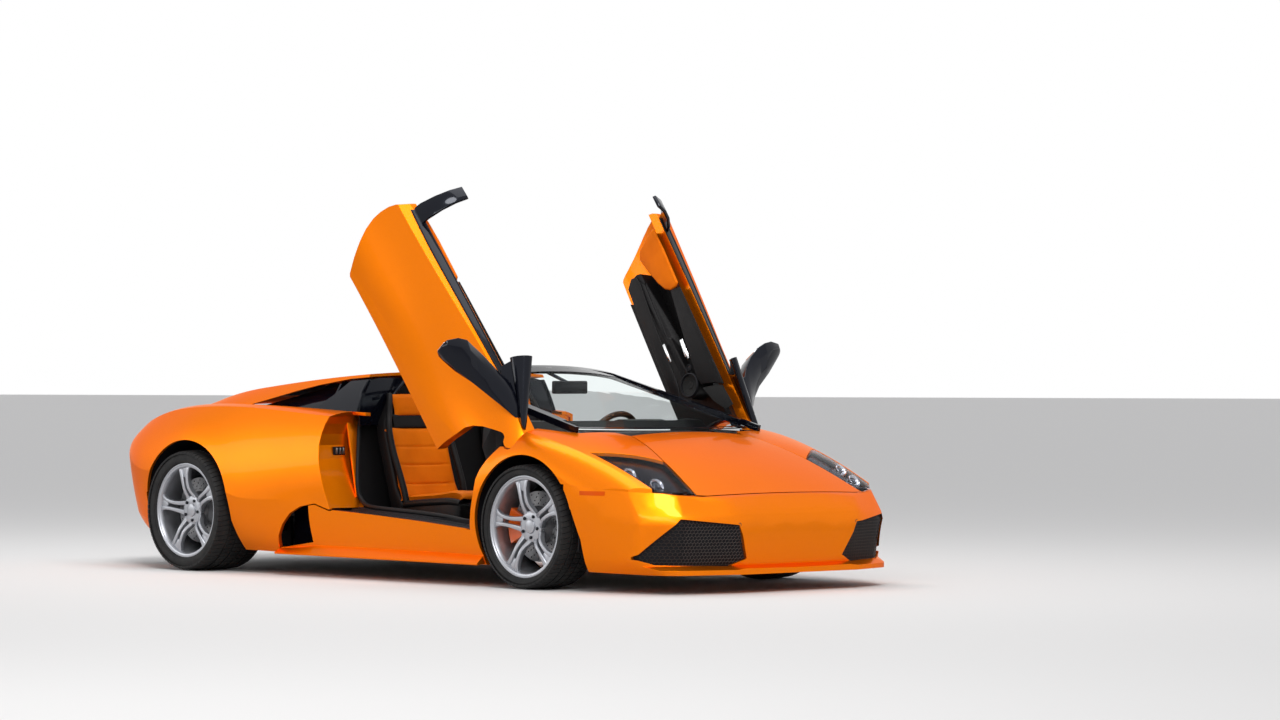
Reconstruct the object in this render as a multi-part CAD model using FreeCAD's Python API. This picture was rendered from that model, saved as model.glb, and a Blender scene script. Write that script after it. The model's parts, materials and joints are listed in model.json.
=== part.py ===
import FreeCAD, Part
import os
import math
from FreeCAD import Vector, Matrix

os.makedirs("parts", exist_ok=True)

# axles, tyres and rims; y is half the track
front = {"x": 1270.0, "y": 817.5, "z": 314.0, "tyre_r": 314.0, "tyre_w": 245.0}
rear = {"x": -1395.0, "y": 847.5, "z": 329.0, "tyre_r": 329.0, "tyre_w": 335.0}
rim_r = 257.0
disc_r = 178.0
disc_t = 32.0
axle_r = 30.0
kingpin_y = 740.0
steer_gap = 0.05

# panels
skin = 18.0
door_t = 62.0
shut = 6.0
arch_r_front = 361.0
arch_r_rear = 384.0
liner_r_front = 380.0
liner_r_rear = 392.0
liner_t = 6.0

# door hinge and its opening turn, for the right-hand door
hinge = Vector(1144.5, -850.0, 749.0)
hinge_axis = Vector(0.076, 1.0, 0.041)
door_turn = 52.6

# body sections along x: floor edge, rocker, waist, shoulder, deck edge and crown
#    x      yb   zb    yr   zr    yw   zw    ys   zs    yd   zd    zc
body_rows = [
    (2290, 700, 90, 760, 170, 800, 300, 640, 425, 560, 428, 452),
    (2215, 740, 90, 790, 170, 835, 340, 690, 452, 585, 458, 490),
    (2074, 800, 95, 850, 170, 885, 380, 775, 500, 568, 531, 573),
    (1846, 860, 100, 895, 180, 925, 440, 815, 598, 509, 646, 681),
    (1560, 890, 105, 915, 190, 940, 560, 838, 702, 424, 752, 775),
    (1270, 895, 110, 920, 200, 948, 640, 850, 776, 420, 801, 806),
    (850, 880, 112, 915, 205, 940, 455, 828, 815, 520, 828, 836),
    (300, 880, 115, 915, 210, 938, 430, 852, 832, 600, 850, 862),
    (-280, 890, 118, 925, 215, 950, 400, 876, 851, 660, 868, 880),
    (-700, 900, 122, 950, 225, 985, 405, 884, 878, 690, 886, 896),
    (-1030, 905, 126, 965, 235, 1014, 437, 890, 896, 690, 892, 905),
    (-1395, 905, 132, 970, 245, 1027, 600, 895, 893, 680, 898, 915),
    (-1700, 890, 165, 955, 260, 1005, 545, 880, 862, 640, 880, 905),
    (-1950, 820, 205, 885, 290, 938, 575, 832, 800, 590, 838, 868),
    (-2150, 690, 245, 745, 320, 815, 610, 735, 735, 540, 780, 815),
    (-2305, 560, 300, 610, 350, 690, 628, 640, 672, 500, 735, 768),
]
bulge = {"rocker": 4.0, "waist": 7.0, "shoulder": 26.0, "deck": 14.0}

# plan outlines of the nose by height: centre, inner, outer corner, side and arch end
#    z     xc    xi    yi    xo    yo    xs    ys    xa    ya
nose_rows = [
    (96, 2292, 2304, 384, 2200, 720, 2060, 872, 1700, 945),
    (120, 2292, 2304, 384, 2200, 720, 2060, 872, 1700, 945),
    (142, 2250, 2254, 345, 2165, 700, 2030, 860, 1690, 950),
    (345, 2298, 2304, 420, 2196, 717, 2040, 868, 1690, 962),
    (385, 2296, 2300, 420, 2186, 712, 2035, 865, 1690, 965),
    (500, 2214, 2196, 480, 2120, 700, 1960, 860, 1660, 972),
    (900, 2150, 2130, 480, 2060, 700, 1920, 870, 1650, 990),
]
seam = [(2400, 470), (2215, 490), (2175, 478), (2074, 496), (1846, 512), (1606, 531), (1400, 545)]

# engine cover sections: foot, top edge, crown
#     x     yf   zf    yt   zt    zc
hump_rows = [
    (-240, 735, 850, 622, 1078, 1096),
    (-540, 728, 860, 620, 1059, 1080),
    (-880, 716, 870, 612, 1031, 1054),
    (-1140, 705, 880, 600, 1006, 1030),
    (-1400, 690, 880, 585, 975, 1000),
    (-1620, 660, 868, 560, 935, 962),
    (-1790, 630, 850, 535, 898, 925),
]
lid_split = [(-240, 1062), (-432, 1050), (-683, 1016), (-854, 985), (-1113, 930), (-1270, 897), (-1500, 880)]

# side outline of the shut door, from its low front corner over the top
door_rows = [
    (861, 296), (863, 322), (876, 397), (897, 482), (909, 548), (934, 596), (977, 646), (1026, 687), (1068, 719),
    (1086, 727), (1106, 726), (1124, 712), (1144, 709), (1160, 712), (1176, 725), (1184, 749), (1176, 775),
    (1168, 781), (1144, 812), (850, 832), (300, 850), (-286, 868), (-308, 842), (-324, 805), (-333, 755),
    (-334, 700), (-322, 630), (-300, 560), (-262, 460), (-227, 378), (-214, 366), (100, 350), (500, 325),
]
wing_edge = [
    (868, 288), (870, 320), (883, 395), (904, 480), (916, 545), (940, 592), (982, 641), (1030, 681), (1072, 713),
    (1100, 712), (1118, 703), (1144, 699), (1164, 703), (1184, 720), (1194, 749), (1202, 790), (1165, 816),
    (1150, 900), (1150, 960),
]

# lid hinges: pins along y at these side places, with the pin's centre in x and z
lid_hinges = {"bonnet": (1470.0, 730.0), "engine_lid": (-1812.0, 838.0)}
lid_hinge_y = 300.0
pin_r = 8.0
run = 0.05
seat_gap = 0.3

V = Vector


def arc(a, b, bow):
    chord = b - a
    out = V(0, chord.z, -chord.y)
    out.normalize()
    return Part.Arc(a, (a + b) * 0.5 + out * bow, b).toShape()


def mirrored(shape):
    return shape.mirror(V(0, 0, 0), V(0, 1, 0))


def both(shape):
    return [shape, mirrored(shape)]


def cut(shape, *tools):
    return shape.cut(list(tools)) if tools else shape


def solids(shapes):
    found = []
    for s in shapes:
        found += s.Solids
    return found


def polygon(points):
    return Part.Face(Part.makePolygon(points + [points[0]]))


def side_prism(outline, y0, y1):
    return polygon([V(x, y0, z) for x, z in outline]).extrude(V(0, y1 - y0, 0))


def plan_prism(outline, z0, z1):
    return polygon([V(x, y, z0) for x, y in outline]).extrude(V(0, 0, z1 - z0))


def front_prism(outline, x0, x1):
    return polygon([V(x0, y, z) for y, z in outline]).extrude(V(x1 - x0, 0, 0))


def box(x0, x1, y0, y1, z0, z1):
    return Part.makeBox(x1 - x0, y1 - y0, z1 - z0, V(x0, y0, z0))


def rod(a, b, r):
    return Part.makeCylinder(r, (b - a).Length, a, b - a)


def body_wire(row, t):
    x, yb, zb, yr, zr, yw, zw, ys, zs, yd, zd, zc = row
    half = [V(x, yb - t, zb + t), V(x, yr - t, zr), V(x, yw - t, zw), V(x, ys - t * 0.75, zs - t * 0.85),
            V(x, yd - t * 0.2, zd - t)]
    bows = [bulge["rocker"], bulge["waist"], bulge["shoulder"], bulge["deck"]]
    other = [V(p.x, -p.y, p.z) for p in half]
    edges = [Part.makeLine(other[0], half[0])]
    for i in range(4):
        edges.append(arc(half[i], half[i + 1], bows[i]))
    edges.append(Part.Arc(half[4], V(x, 0, zc - t), other[4]).toShape())
    for i in range(3, -1, -1):
        edges.append(arc(other[i + 1], other[i], bows[i]))
    return Part.Wire(edges)


def nose_wire(row, t):
    z, xc, xi, yi, xo, yo, xs, ys, xa, ya = row
    p = [V(xi - t, yi, z), V(xo - t * 0.8, yo - t * 0.6, z), V(xs - t * 0.6, ys - t * 0.8, z), V(xa, ya - t, z)]
    m = [V(q.x, -q.y, z) for q in p]
    back = 600.0
    edges = [Part.Arc(m[0], V(xc - t + (xi - xc) * 0.25, 0, z), p[0]).toShape(),
             Part.makeLine(p[0], p[1]), Part.makeLine(p[1], p[2]), Part.makeLine(p[2], p[3]),
             Part.makeLine(p[3], V(back, 1010 - t, z)), Part.makeLine(V(back, 1010 - t, z), V(back, t - 1010, z)),
             Part.makeLine(V(back, t - 1010, z), m[3]), Part.makeLine(m[3], m[2]),
             Part.makeLine(m[2], m[1]), Part.makeLine(m[1], m[0])]
    return Part.Wire(edges)


def hump_wire(row, t):
    x, yf, zf, yt, zt, zc = row
    a, b = V(x, yf - t, zf - t * 0.1), V(x, yt - t * 0.8, zt - t * 0.8)
    c, d = V(x, -b.y, b.z), V(x, -a.y, a.z)
    return Part.Wire([Part.makeLine(d, a), arc(a, b, 8.0), Part.Arc(b, V(x, 0, zc - t), c).toShape(), arc(c, d, 8.0)])


def body_solid(t):
    whole = Part.makeLoft([body_wire(r, t) for r in body_rows], True, False)
    nose = Part.makeLoft([nose_wire(r, t) for r in nose_rows], True, True)
    return whole.cut(box(1640, 2600, -1200, 1200, 0, 1200).cut(nose))


def flank_solid(t):
    return Part.makeLoft([body_wire(r, t) for r in body_rows], True, False)


def hump_solid(t):
    return Part.makeLoft([hump_wire(r, t) for r in hump_rows], True, False)


outer = body_solid(0.0)
inner = body_solid(skin)
shell = outer.cut(inner)

# wheel openings
def arch(axle, r, feet):
    return Part.makeCylinder(r, 2400, V(axle["x"], -1200, axle["z"]), V(0, 1, 0)).fuse(side_prism(feet, -1200, 1200))


front_arch = arch(front, arch_r_front, [(1270, 40), (1706, 40), (1680, 261), (1622, 410), (1270, 430)])
front_arch = front_arch.fuse(side_prism([(1270, 40), (950, 40), (952, 365), (985, 480), (1270, 480)], -1200, 1200))
rear_arch = arch(rear, arch_r_rear, [(-1395, 40), (-966, 40), (-1014, 286), (-1050, 430), (-1395, 450)])
rear_arch = rear_arch.fuse(side_prism([(-1395, 40), (-1790, 40), (-1779, 420), (-1395, 450)], -1200, 1200))

# bumper
bumper_region = side_prism(seam + [(1400, 0), (2400, 0)], -1200, 1200)
intake = [(341, 173), (437, 137), (800, 146), (880, 176), (720, 372), (420, 340)]
intake_hole = front_prism(intake, 1750, 2400).cut(box(1700, 1990, 0, 1200, 0, 600))
centre_slot = front_prism([(-330, 136), (330, 136), (300, 170), (-300, 170)], 2100, 2400)
bumper = shell.common(bumper_region).cut([front_arch, intake_hole, mirrored(intake_hole), box(0, 1575, -1200, 1200, 0, 800)])
bumper = bumper.cut(box(1400, 2150, -760, 760, 0, 118))

nest = body_solid(skin + seat_gap)
nest_side = flank_solid(skin + seat_gap)
wide_intake = front_prism([(325, 160), (430, 126), (810, 132), (900, 178), (728, 386), (404, 354)], 1750, 2400)
wide_intake = wide_intake.cut(box(1700, 1975, 0, 1200, 0, 600))
grille = nest.common(wide_intake).common(bumper_region).cut(body_solid(skin + 9.0))
grilles = both(max(grille.Solids, key=lambda s: s.Volume))

# bonnet, lamps and wings
bonnet_x = 1500.0
bonnet_plan = [(bonnet_x, 398), (1846, 506), (2178, 592), (2420, 660), (2420, -660), (2178, -592), (1846, -506),
               (bonnet_x, -398)]
bonnet_gap = [(1440, 388), (bonnet_x, 405), (1846, 513), (2178, 599), (2420, 667), (2420, -667), (2178, -599),
              (1846, -513), (bonnet_x, -405), (1440, -388)]
lift = 5.6
above = side_prism([(x, z + lift) for x, z in seam] + [(1400, 1300), (2400, 1300)], -1200, 1200)
bonnet = shell.common(plan_prism(bonnet_plan, 300, 900)).common(above)
hx, hz = lid_hinges["bonnet"]
neck = side_prism([(hx - 14, hz - 12), (hx + 14, hz - 14), (1552, 728), (1568, 750), (1568, 790), (1524, 790),
                   (1520, 752), (hx + 8, hz + 14), (hx - 10, hz + 12)], lid_hinge_y - 6, lid_hinge_y + 6)
neck = neck.common(flank_solid(skin - 1.0)).cut(rod(V(hx, 200, hz), V(hx, 400, hz), pin_r + run))
bonnet = bonnet.fuse([neck, mirrored(neck)])

lamp_plan = [(1847, 514.5), (2172, 597), (2420, 661), (2420, 805), (2078, 775.5), (1618, 805.5), (1654.5, 757.5)]
lamp_region = plan_prism(lamp_plan, 300, 1000).common(above)
lamp = body_solid(1.5).common(lamp_region).cut(body_solid(skin + 40.0))
lamps = both(lamp)

wing_side = side_prism(wing_edge + [(1150, 1300), (2500, 1300), (2500, 200), (844, 100)], -1200, 1200)
wing_cut = plan_prism(bonnet_gap, 200, 1300)
cowl_plan = [(1494, -405), (1494, 405), (1410, 430), (1378, 640), (1300, 705), (1210, 740), (1120, 760), (1000, 400),
             (1000, -400), (1120, -760), (1210, -740), (1300, -705), (1378, -640), (1410, -430)]
cowl_gap = [(1520, -399), (1520, 399), (1416, 436), (1384, 646), (1305, 712), (1212, 748), (1000, 790), (900, 400),
            (900, -400), (1000, -790), (1212, -748), (1305, -712), (1384, -646), (1416, -436)]
low_front = box(1500, 2400, -1200, 1200, 0, 480)
wing_zone = box(600, 2500, -1200, -380, 0, 1200)
wing = shell.common(wing_zone).common(wing_side).cut([front_arch, box(600, 2400, -700, 0, 0, 500), wing_cut,
                                    box(600, 1000, -1200, 0, 0, 288.3), plan_prism(cowl_gap, 500, 1300),
                                    side_prism(seam + [(1400, 0), (2400, 0)], -1200, 1200),
                                    side_prism([(1270, 0), (1640, 0), (1640, 520), (1270, 520)], -1200, 1200)])
lamp_gap = plan_prism([(1846, -510), (2178, -594), (2420, -656), (2420, -806), (2078, -776), (1617, -806),
                       (1654, -757)], 200, 1300)
wing = wing.cut(lamp_gap)
wings = both(max(wing.Solids, key=lambda s: s.Volume))

# cowl panel and wiper
cowl_zone = plan_prism([(1520, -412), (1520, 412), (1430, 446), (1396, 655), (1312, 722), (1214, 756), (1130, 764),
                        (1130, -764), (1214, -756), (1312, -722), (1396, -655), (1430, -446)], 500, 900)
swing = box(1100, 1600, -424, 424, 500, 1000)
cowl = flank_solid(skin + 6.0).common(cowl_zone).common(swing).fuse(nest_side.common(cowl_zone).cut(swing))
cowl = cowl.cut([flank_solid(38.0), box(1494, 1600, -500, 500, 500, 900), box(1450, 1500, 280, 332, 500, 900),
                 box(1450, 1500, -332, -280, 500, 900), box(1000, 1216, -1200, 1200, 0, 1300)])
wiper = rod(V(1424, 60, 808), V(1404, -230, 812), 7.0).fuse([rod(V(1424, 60, 760), V(1424, 60, 816), 10.0),
                                                             rod(V(1420, 0, 812), V(1372, -480, 810), 6.0)])
cowl = max(cowl.fuse(wiper).Solids, key=lambda s: s.Volume)

# windscreen and its frame
def screen_sheet(grow, t, lift_mm):
    low = [V(1352 + grow, -652 - grow, 806), V(1425 + grow, 0, 800), V(1352 + grow, 652 + grow, 806)]
    top = [V(300 - grow, -602 - grow, 1078), V(400 - grow, 0, 1118), V(300 - grow, 602 + grow, 1078)]
    face = Part.makeRuledSurface(Part.Arc(*low).toShape(), Part.Arc(*top).toShape())
    n = V(0.27, 0, 0.963)
    face.translate(n * lift_mm)
    return face.extrude(n * t)


glass = screen_sheet(-35.0, 5.0, -8.0)
frame_ring = screen_sheet(14.0, 34.0, -26.0).cut(screen_sheet(-34.0, 80.0, -50.0))
frame_ring = frame_ring.cut(box(1250, 1600, -645, 645, 700, 900))
glass = glass.cut(box(1392, 1500, -700, 700, 700, 900))
mirror_head = box(596, 618, -115, 115, 978, 1038).fuse(rod(V(600, 0, 1030), V(400, 0, 1098), 9.0))
frame_ring = max(frame_ring.fuse(mirror_head).Solids, key=lambda s: s.Volume)
cowl = max(cowl.cut(screen_sheet(15.0, 90.0, -60.0)).Solids, key=lambda s: s.Volume)

# doors, shut, then turned open about the hinge
door_prism = side_prism(door_rows, -1200, 0)
door_shell = outer.common(door_prism).cut([flank_solid(door_t), box(-500, 1300, -772, 0, 0, 1200)])
pin_dir = V(hinge_axis)
pin_dir.normalize()
door_pin = Part.makeCylinder(14.0, 96.0, hinge + pin_dir * 8.0, pin_dir)
door_bore = Part.makeCylinder(14.0 + run, 90.0, hinge + pin_dir * 2.0, pin_dir)
door_shell = max(door_shell.cut(door_bore).Solids, key=lambda s: s.Volume)
trim_rows = [(840, 330), (860, 400), (880, 480), (896, 548), (924, 604), (982, 664), (1052, 706), (1094, 748),
             (1094, 792), (850, 812), (300, 830), (-252, 848), (-282, 822), (-298, 786), (-308, 740), (-306, 694),
             (-280, 580), (-240, 470), (-214, 410), (-186, 388), (100, 372), (500, 348)]
door_trim = flank_solid(door_t + 0.3).common(side_prism(trim_rows, -1200, 0)).cut(
    [flank_solid(door_t + 38.0), box(-500, 1300, -734, 0, 0, 1200)])
door_trim = max(door_trim.Solids, key=lambda s: s.Volume)
rest = box(-150, 760, -846, -742, 560, 610).common(flank_solid(door_t + 20.0))
door_trim = max(door_trim.fuse(rest).Solids, key=lambda s: s.Volume)


def leaf(points, t):
    face = polygon(points)
    n = (points[1] - points[0]).cross(points[2] - points[0])
    n.normalize()
    return face.extrude(n * t)


belt = flank_solid(-seat_gap)
sail_plane = [V(1128, -818, 800), V(850, -832, 810), V(790, -700, 962)]
sail_side = [(1128, 800), (850, 810), (759, 851), (761, 920), (796, 969)]
sail_n = (sail_plane[1] - sail_plane[0]).cross(sail_plane[2] - sail_plane[0])
sail = leaf([V(x, sail_plane[0].y - (sail_n.x * (x - sail_plane[0].x) + sail_n.z * (z - sail_plane[0].z)) / sail_n.y, z)
             for x, z in sail_side], -20.0)
sail = max(sail.cut(belt).Solids, key=lambda s: s.Volume)


def pod_wire(y, x, z, high, deep):
    top, low = V(x, y, z + high / 2), V(x, y, z - high / 2)
    return Part.Wire([Part.makeLine(low, top), Part.Arc(top, V(x + deep, y, z), low).toShape()])


# mirror housing from its tip inwards to the foot on the sail: rear face x, middle z, height and depth
#      y     x    z   high deep
pod_rows = [(-1178, 648, 890, 52, 34), (-1150, 632, 884, 112, 76), (-1083, 628, 878, 130, 132),
            (-1000, 648, 866, 122, 168), (-930, 690, 858, 104, 206), (-880, 768, 850, 80, 222),
            (-846, 836, 842, 64, 200), (-806, 856, 838, 54, 170)]
head = Part.makeLoft([pod_wire(*r) for r in pod_rows], True, False).cut(belt)
mirror_parts = max(sail.fuse(max(head.Solids, key=lambda s: s.Volume)).Solids, key=lambda s: s.Volume)

# seal fin behind the window: front and rear x, y, z, curving over inwards
fin_rows = [(-160, -262, -806, 832), (-164, -258, -762, 888), (-168, -252, -690, 962), (-170, -246, -590, 1040)]


def fin_wire(x0, x1, y, z):
    out = V(0, -14, 15)
    a, b = V(x0, y, z) + out * 0.5, V(x1, y, z) + out * 0.5
    c, d = V(x1, y, z) - out * 0.5, V(x0, y, z) - out * 0.5
    return Part.makePolygon([a, b, c, d, a])


fin = Part.makeLoft([fin_wire(*r) for r in fin_rows], True, False).cut(belt)
fin = max(fin.Solids, key=lambda s: s.Volume)


def opened(shape):
    turned = shape.copy()
    turned.rotate(hinge, hinge_axis, door_turn)
    return turned


# sills and rear quarters
door_gap = [
    (868, 290), (870, 320), (883, 395), (904, 480), (916, 545), (940, 592), (982, 641), (1030, 681), (1072, 716),
    (1082, 737), (1084, 1300), (-250, 1300), (-292, 876), (-315, 846), (-331, 808), (-340, 757), (-341, 699),
    (-329, 628), (-307, 558), (-268, 457), (-233, 370), (-220, 359), (100, 343), (500, 318),
]
door_hole = side_prism(door_gap, -1200, -725)
near_sill = [(-226, 350), (100, 334), (500, 309), (868, 279)]
shelf = side_prism(near_sill + [(x, z - 14) for x, z in reversed(near_sill)], -1000, -772)
shelf = shelf.common(flank_solid(skin - 1.0))
jamb_line = [(-300, 881), (-323, 850), (-339, 811), (-348, 758), (-349, 699), (-337, 626), (-315, 555), (-276, 454),
             (-240, 368)]
jamb = side_prism(jamb_line + [(x - 14, z) for x, z in reversed(jamb_line)], -1000, -700)
jamb = jamb.common(flank_solid(skin - 1.0))
lip = [(-345, 391), (-457, 372), (-539, 334), (-607, 275), (-655, 215), (-684, 152)]
sill = shell.common(side_prism([(960, 100), (960, 400), (-210, 400), (-214, 355), (-234, 353), (-345, 384), (-392, 378),
                                (-390, 184), (-680, 145), (-680, 100)], -1200, 1200))
sill = sill.common(box(-700, 1000, -1200, -780, 0, 500))
sill = sill.cut([front_arch, door_hole, box(840, 1000, -1200, 1200, 288, 500),
                 side_prism([(948, 40), (940, 300), (1000, 300), (1000, 40)], -1200, 1200)])
# rocker blade along the foot of the sill; its section runs from the rear end to the front arch
blade_rows = [(-680, -908, 148, -954, 114), (-386, -908, 176, -956, 114), (300, -896, 172, -948, 112),
              (940, -895, 166, -946, 110)]
blade = Part.makeLoft([Part.makePolygon([V(x, y, z), V(x, y1, z1 + 8), V(x, y1 + 3, z1), V(x, y + 20, z1 + 8), V(x, y, z)])
                       for x, y, z, y1, z1 in blade_rows], True, True)
sill = sill.fuse([shelf.cut(box(840, 1000, -1200, 0, 0, 500)), blade])
sills = both(max(sill.Solids, key=lambda s: s.Volume))

quarter_region = side_prism([(-200, 364), (-200, 1300), (-2600, 1300), (-2600, 0), (-692, 0)] + lip[::-1] + [(-240, 362)],
                            -1200, 0)
tail_x = -2262.0
vent_in, vent_t = 5.0, 15.0
vent_seat = box(-620, 0, -1200, 1200, 0, 1400)
quarter = shell.common(quarter_region).cut([rear_arch, door_hole, box(-3000, tail_x, -1200, 0, 0, 2000),
                                            box(-3000, 3000, -700 - seat_gap, 0, 0, 200),
                                            box(-3000, -1796, -1200, 0, 0, 470), box(-3000, 3000, -690, 0, 0, 2000),
                                            hump_solid(-6.0).cut(vent_seat), hump_solid(vent_in + vent_t + 1.0)])
jamb = jamb.cut(side_prism([(-200, 0), (-200, 364), (-240, 362), (-345, 391), (-400, 391), (-400, 0)], -1200, 0))
quarter = max(quarter.fuse(jamb).Solids, key=lambda s: s.Volume)

# deck around the engine cover, rear bumper, tail panel and diffuser
deck = shell.common(box(-2262, -1800, -690 + seat_gap, 690 - seat_gap, 600, 1300))
ex, ez = lid_hinges["engine_lid"]
for y in (lid_hinge_y, -lid_hinge_y):
    deck = deck.cut(box(-1828, -1795, y - 12, y + 12, 800, 1000))
deck = max(deck.Solids, key=lambda s: s.Volume)
for side in (1, -1):
    y0, y1 = sorted((side * 316, side * 328))
    plate = box(-1830, -1801, y0, y1, 824, 900).common(flank_solid(skin - 1.0))
    deck = deck.fuse([plate, rod(V(ex, side * 288, ez), V(ex, side * 320, ez), pin_r)])
deck = max(deck.Solids, key=lambda s: s.Volume)
corner = shell.common(box(-2400, -1796, -1200, -560, 0, 470 - seat_gap)).cut([rear_arch, side_prism(
    [(-1796, 100), (-1796, 300), (-2200, 420), (-2400, 420), (-2400, 100)], -700, 0)])
corner = max(corner.Solids, key=lambda s: s.Volume)
apron = box(-2250, -2236, -560 + seat_gap, 560 - seat_gap, 424, 470 - seat_gap)
bumper_rear_parts = both(corner) + [apron]
tail_panel = outer.common(box(-2305, tail_x - seat_gap, -1200, 1200, 470, 700))
tail_cut = box(-2320, -2286, 350, 660, 575, 640)
tail_lamp = outer.common(box(-2305, -2286 - seat_gap, 350.3, 659.7, 575.3, 639.7))
tail_panel = tail_panel.cut([tail_cut, mirrored(tail_cut)])

floor_end = -1750.0
pipe_r, pipe_z = 60.0, 357.0         # end pipe
diff_rows = [(floor_end - seat_gap, 118), (floor_end - seat_gap, 134), (-2190, 290), (-2215, 290), (-2215, 270)]
diffuser = side_prism(diff_rows, -559, 559)
for y in (-440, -220, 0, 220, 440):
    diffuser = diffuser.fuse(side_prism([(-1830, 140), (-2215, 276), (-2228, 276), (-2228, 180), (-2150, 150)],
                                        y - 4, y + 4))
hanger = box(-2212, -2200, -559, 559, 288, 424).cut(box(-2220, -2190, -150, 150, pipe_z - pipe_r - 5, 500))
diffuser = diffuser.fuse([hanger, box(-2236, -2200, -559, 559, 424, 436)])

# engine cover and the side vents under it
hump = hump_solid(0.0)
hump_shell = hump.cut(hump_solid(skin))
lid_region = side_prism(lid_split + [(-1790, 870), (-1790, 1300), (-240, 1300)], -1200, 1200)
lid = hump_shell.common(lid_region).cut([box(-282, 0, -1200, 1200, 0, 1400), box(-2000, -1786, -1200, 1200, 0, 1400)])
lid = max(lid.Solids, key=lambda s: s.Volume)
louvre_cuts = [box(-900 - 110 * i, -850 - 110 * i, -330, 330, 900, 1200) for i in range(6)]
lid_neck = side_prism([(ex - 14, ez - 12), (ex + 12, ez - 14), (-1740, 862), (-1728, 884), (-1728, 930), (-1772, 930),
                       (-1780, 884), (ex - 10, ez + 14)], lid_hinge_y - 6, lid_hinge_y + 6)
lid_neck = lid_neck.common(hump_solid(skin - 1.0).fuse(box(-1900, -1600, 200, 400, 700, 885)))
lid_neck = lid_neck.cut(rod(V(ex, 200, ez), V(ex, 400, ez), pin_r + run))
lid = lid.cut(louvre_cuts)
lid = max(lid.fuse([lid_neck, mirrored(lid_neck)]).Solids, key=lambda s: s.Volume)
vent_rows = [(x, z - shut - 6) for x, z in lid_split]
vent_region = side_prism(vent_rows + [(-1500, 800), (-240, 800)], -1200, 0)
vent_front = side_prism([(-240, 800), (-240, 1300), (-430, 1300), (-430, 1040), (-520, 965), (-640, 890), (-690, 800)],
                        -1200, 0)
vent_clear = [box(-282, 0, -1200, 1200, 0, 1400), flank_solid(-seat_gap)]
vent = hump_solid(vent_in).common(vent_region).common(vent_front).cut([hump_solid(vent_in + vent_t)] + vent_clear)
recess = hump_solid(64.0).common(vent_region).cut([hump_solid(76.0), box(-500, 0, -1200, 0, 0, 1400),
                                                   box(-1300, 0, -480, 0, 0, 1400)] + vent_clear)
web = hump_solid(12.0).common(vent_region).common(box(-524, -512, -1200, 0, 0, 1400)).cut([hump_solid(70.0)] + vent_clear)
vent = vent.fuse([max(recess.Solids, key=lambda s: s.Volume), max(web.Solids, key=lambda s: s.Volume)])
vent = max(vent.Solids, key=lambda s: s.Volume)
scoop_back = plan_prism([(-395, -925), (-404, -890), (-426, -812), (-700, -800), (-700, -786), (-416, -798), (-392, -885)],
                        100, 388).common(nest_side)
scoop_back = max(scoop_back.Solids, key=lambda s: s.Volume)

# tub, floor and bulkhead
floor = box(floor_end, 1560, -700, 700, 118, 138)
wheel_room = [box(868, 1672, 500, 1200, 0, 400), box(-1830, -980, 600, 1200, 0, 400)]
floor = floor.cut(wheel_room + [mirrored(w) for w in wheel_room])
side_beam = box(-380, 860, -930, -700, 118, 300).fuse(box(-200, 860, -770, -700, 300, 330))
side_beam = side_beam.common(nest_side).cut([side_prism([(x, z - 14.3) for x, z in near_sill] + [(868, 100), (1000, 100), (1000, 500), (500, 900),
                                                                      (-226, 900)], -1200, -771),
                                             box(-395, -366, -1200, -780, 0, 500)])
side_beam = max(side_beam.Solids, key=lambda s: s.Volume)
side_wall = box(820, 985, -720, -690, 130, 704)
rail = box(868, 1560, -500 + seat_gap, -480, 138, 520)
rail_rear = box(floor_end, -980, -600 + seat_gap, -580, 138, 300).cut(box(-1460, -1330, -620, -560, 214, 320))
dash_wall = box(985, 1005, -720, 720, 138, 704)
ledge = box(985, 1300, -738, 738, 704, 716).fuse(box(1112, 1300, -760, 760, 704, 716))
post = box(1130, 1158, -766, -748, 716, 768)
liner_room = Part.makeCylinder(liner_r_front + liner_t + seat_gap, 3000, V(front["x"], -1500, front["z"]), V(0, 1, 0))
side_room = liner_room.common(box(0, 3000, -1500, -499.7, 100, 2000))
dash_wall = dash_wall.cut([side_room, mirrored(side_room)])
side_wall = side_wall.cut(side_room)
floor_tub = floor.fuse([side_beam, mirrored(side_beam), side_wall, mirrored(side_wall), rail, mirrored(rail),
                        rail_rear, mirrored(rail_rear), dash_wall, ledge, post, mirrored(post), door_pin,
                        mirrored(door_pin)]).removeSplitter()
floor_tub = max(floor_tub.Solids, key=lambda s: s.Volume)

wall_rows = [(-250, 138.3), (-210, 138.3), (-372, 930), (-372, 1068), (-412, 1068), (-412, 930)]
bulkhead = side_prism(wall_rows, -740, 740).common(hump_solid(26.3).fuse(box(-600, 0, -699, 699, 100, 884)))
bulkhead = bulkhead.cut([box(-600, 0, 660, 800, 866, 884), box(-600, 0, -800, -660, 866, 884)])
for side in (1, -1):
    legs = [V(-376, side * 210, 860), V(-376, side * 230, 1034), V(-376, side * 510, 1034), V(-376, side * 540, 860)]
    bulkhead = bulkhead.fuse([rod(legs[0], legs[1], 20.0), rod(legs[1], legs[2], 20.0), rod(legs[2], legs[3], 20.0),
                              Part.makeSphere(20.0, legs[1]), Part.makeSphere(20.0, legs[2])])
tunnel = side_prism([(-200, 138.3), (984.7, 138.3), (984.7, 470), (700, 500), (200, 440), (-252, 440)], -120, 120)
dash_rows = [(984.7, 480), (984.7, 760), (900, 835), (790, 845), (700, 800), (690, 700), (760, 560), (800, 480)]
dash = side_prism(dash_rows, -690, 690)
pod = side_prism([(700, 800), (720, 862), (800, 872), (880, 836), (790, 800)], 210, 490)
dashboard = dash.fuse([pod, tunnel])
dashboard = dashboard.cut([side_prism([(800, 400), (985, 400), (985, 720), (800, 620)], -690, -130),
                           side_prism([(800, 400), (985, 400), (985, 720), (800, 620)], 130, 690)])

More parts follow.
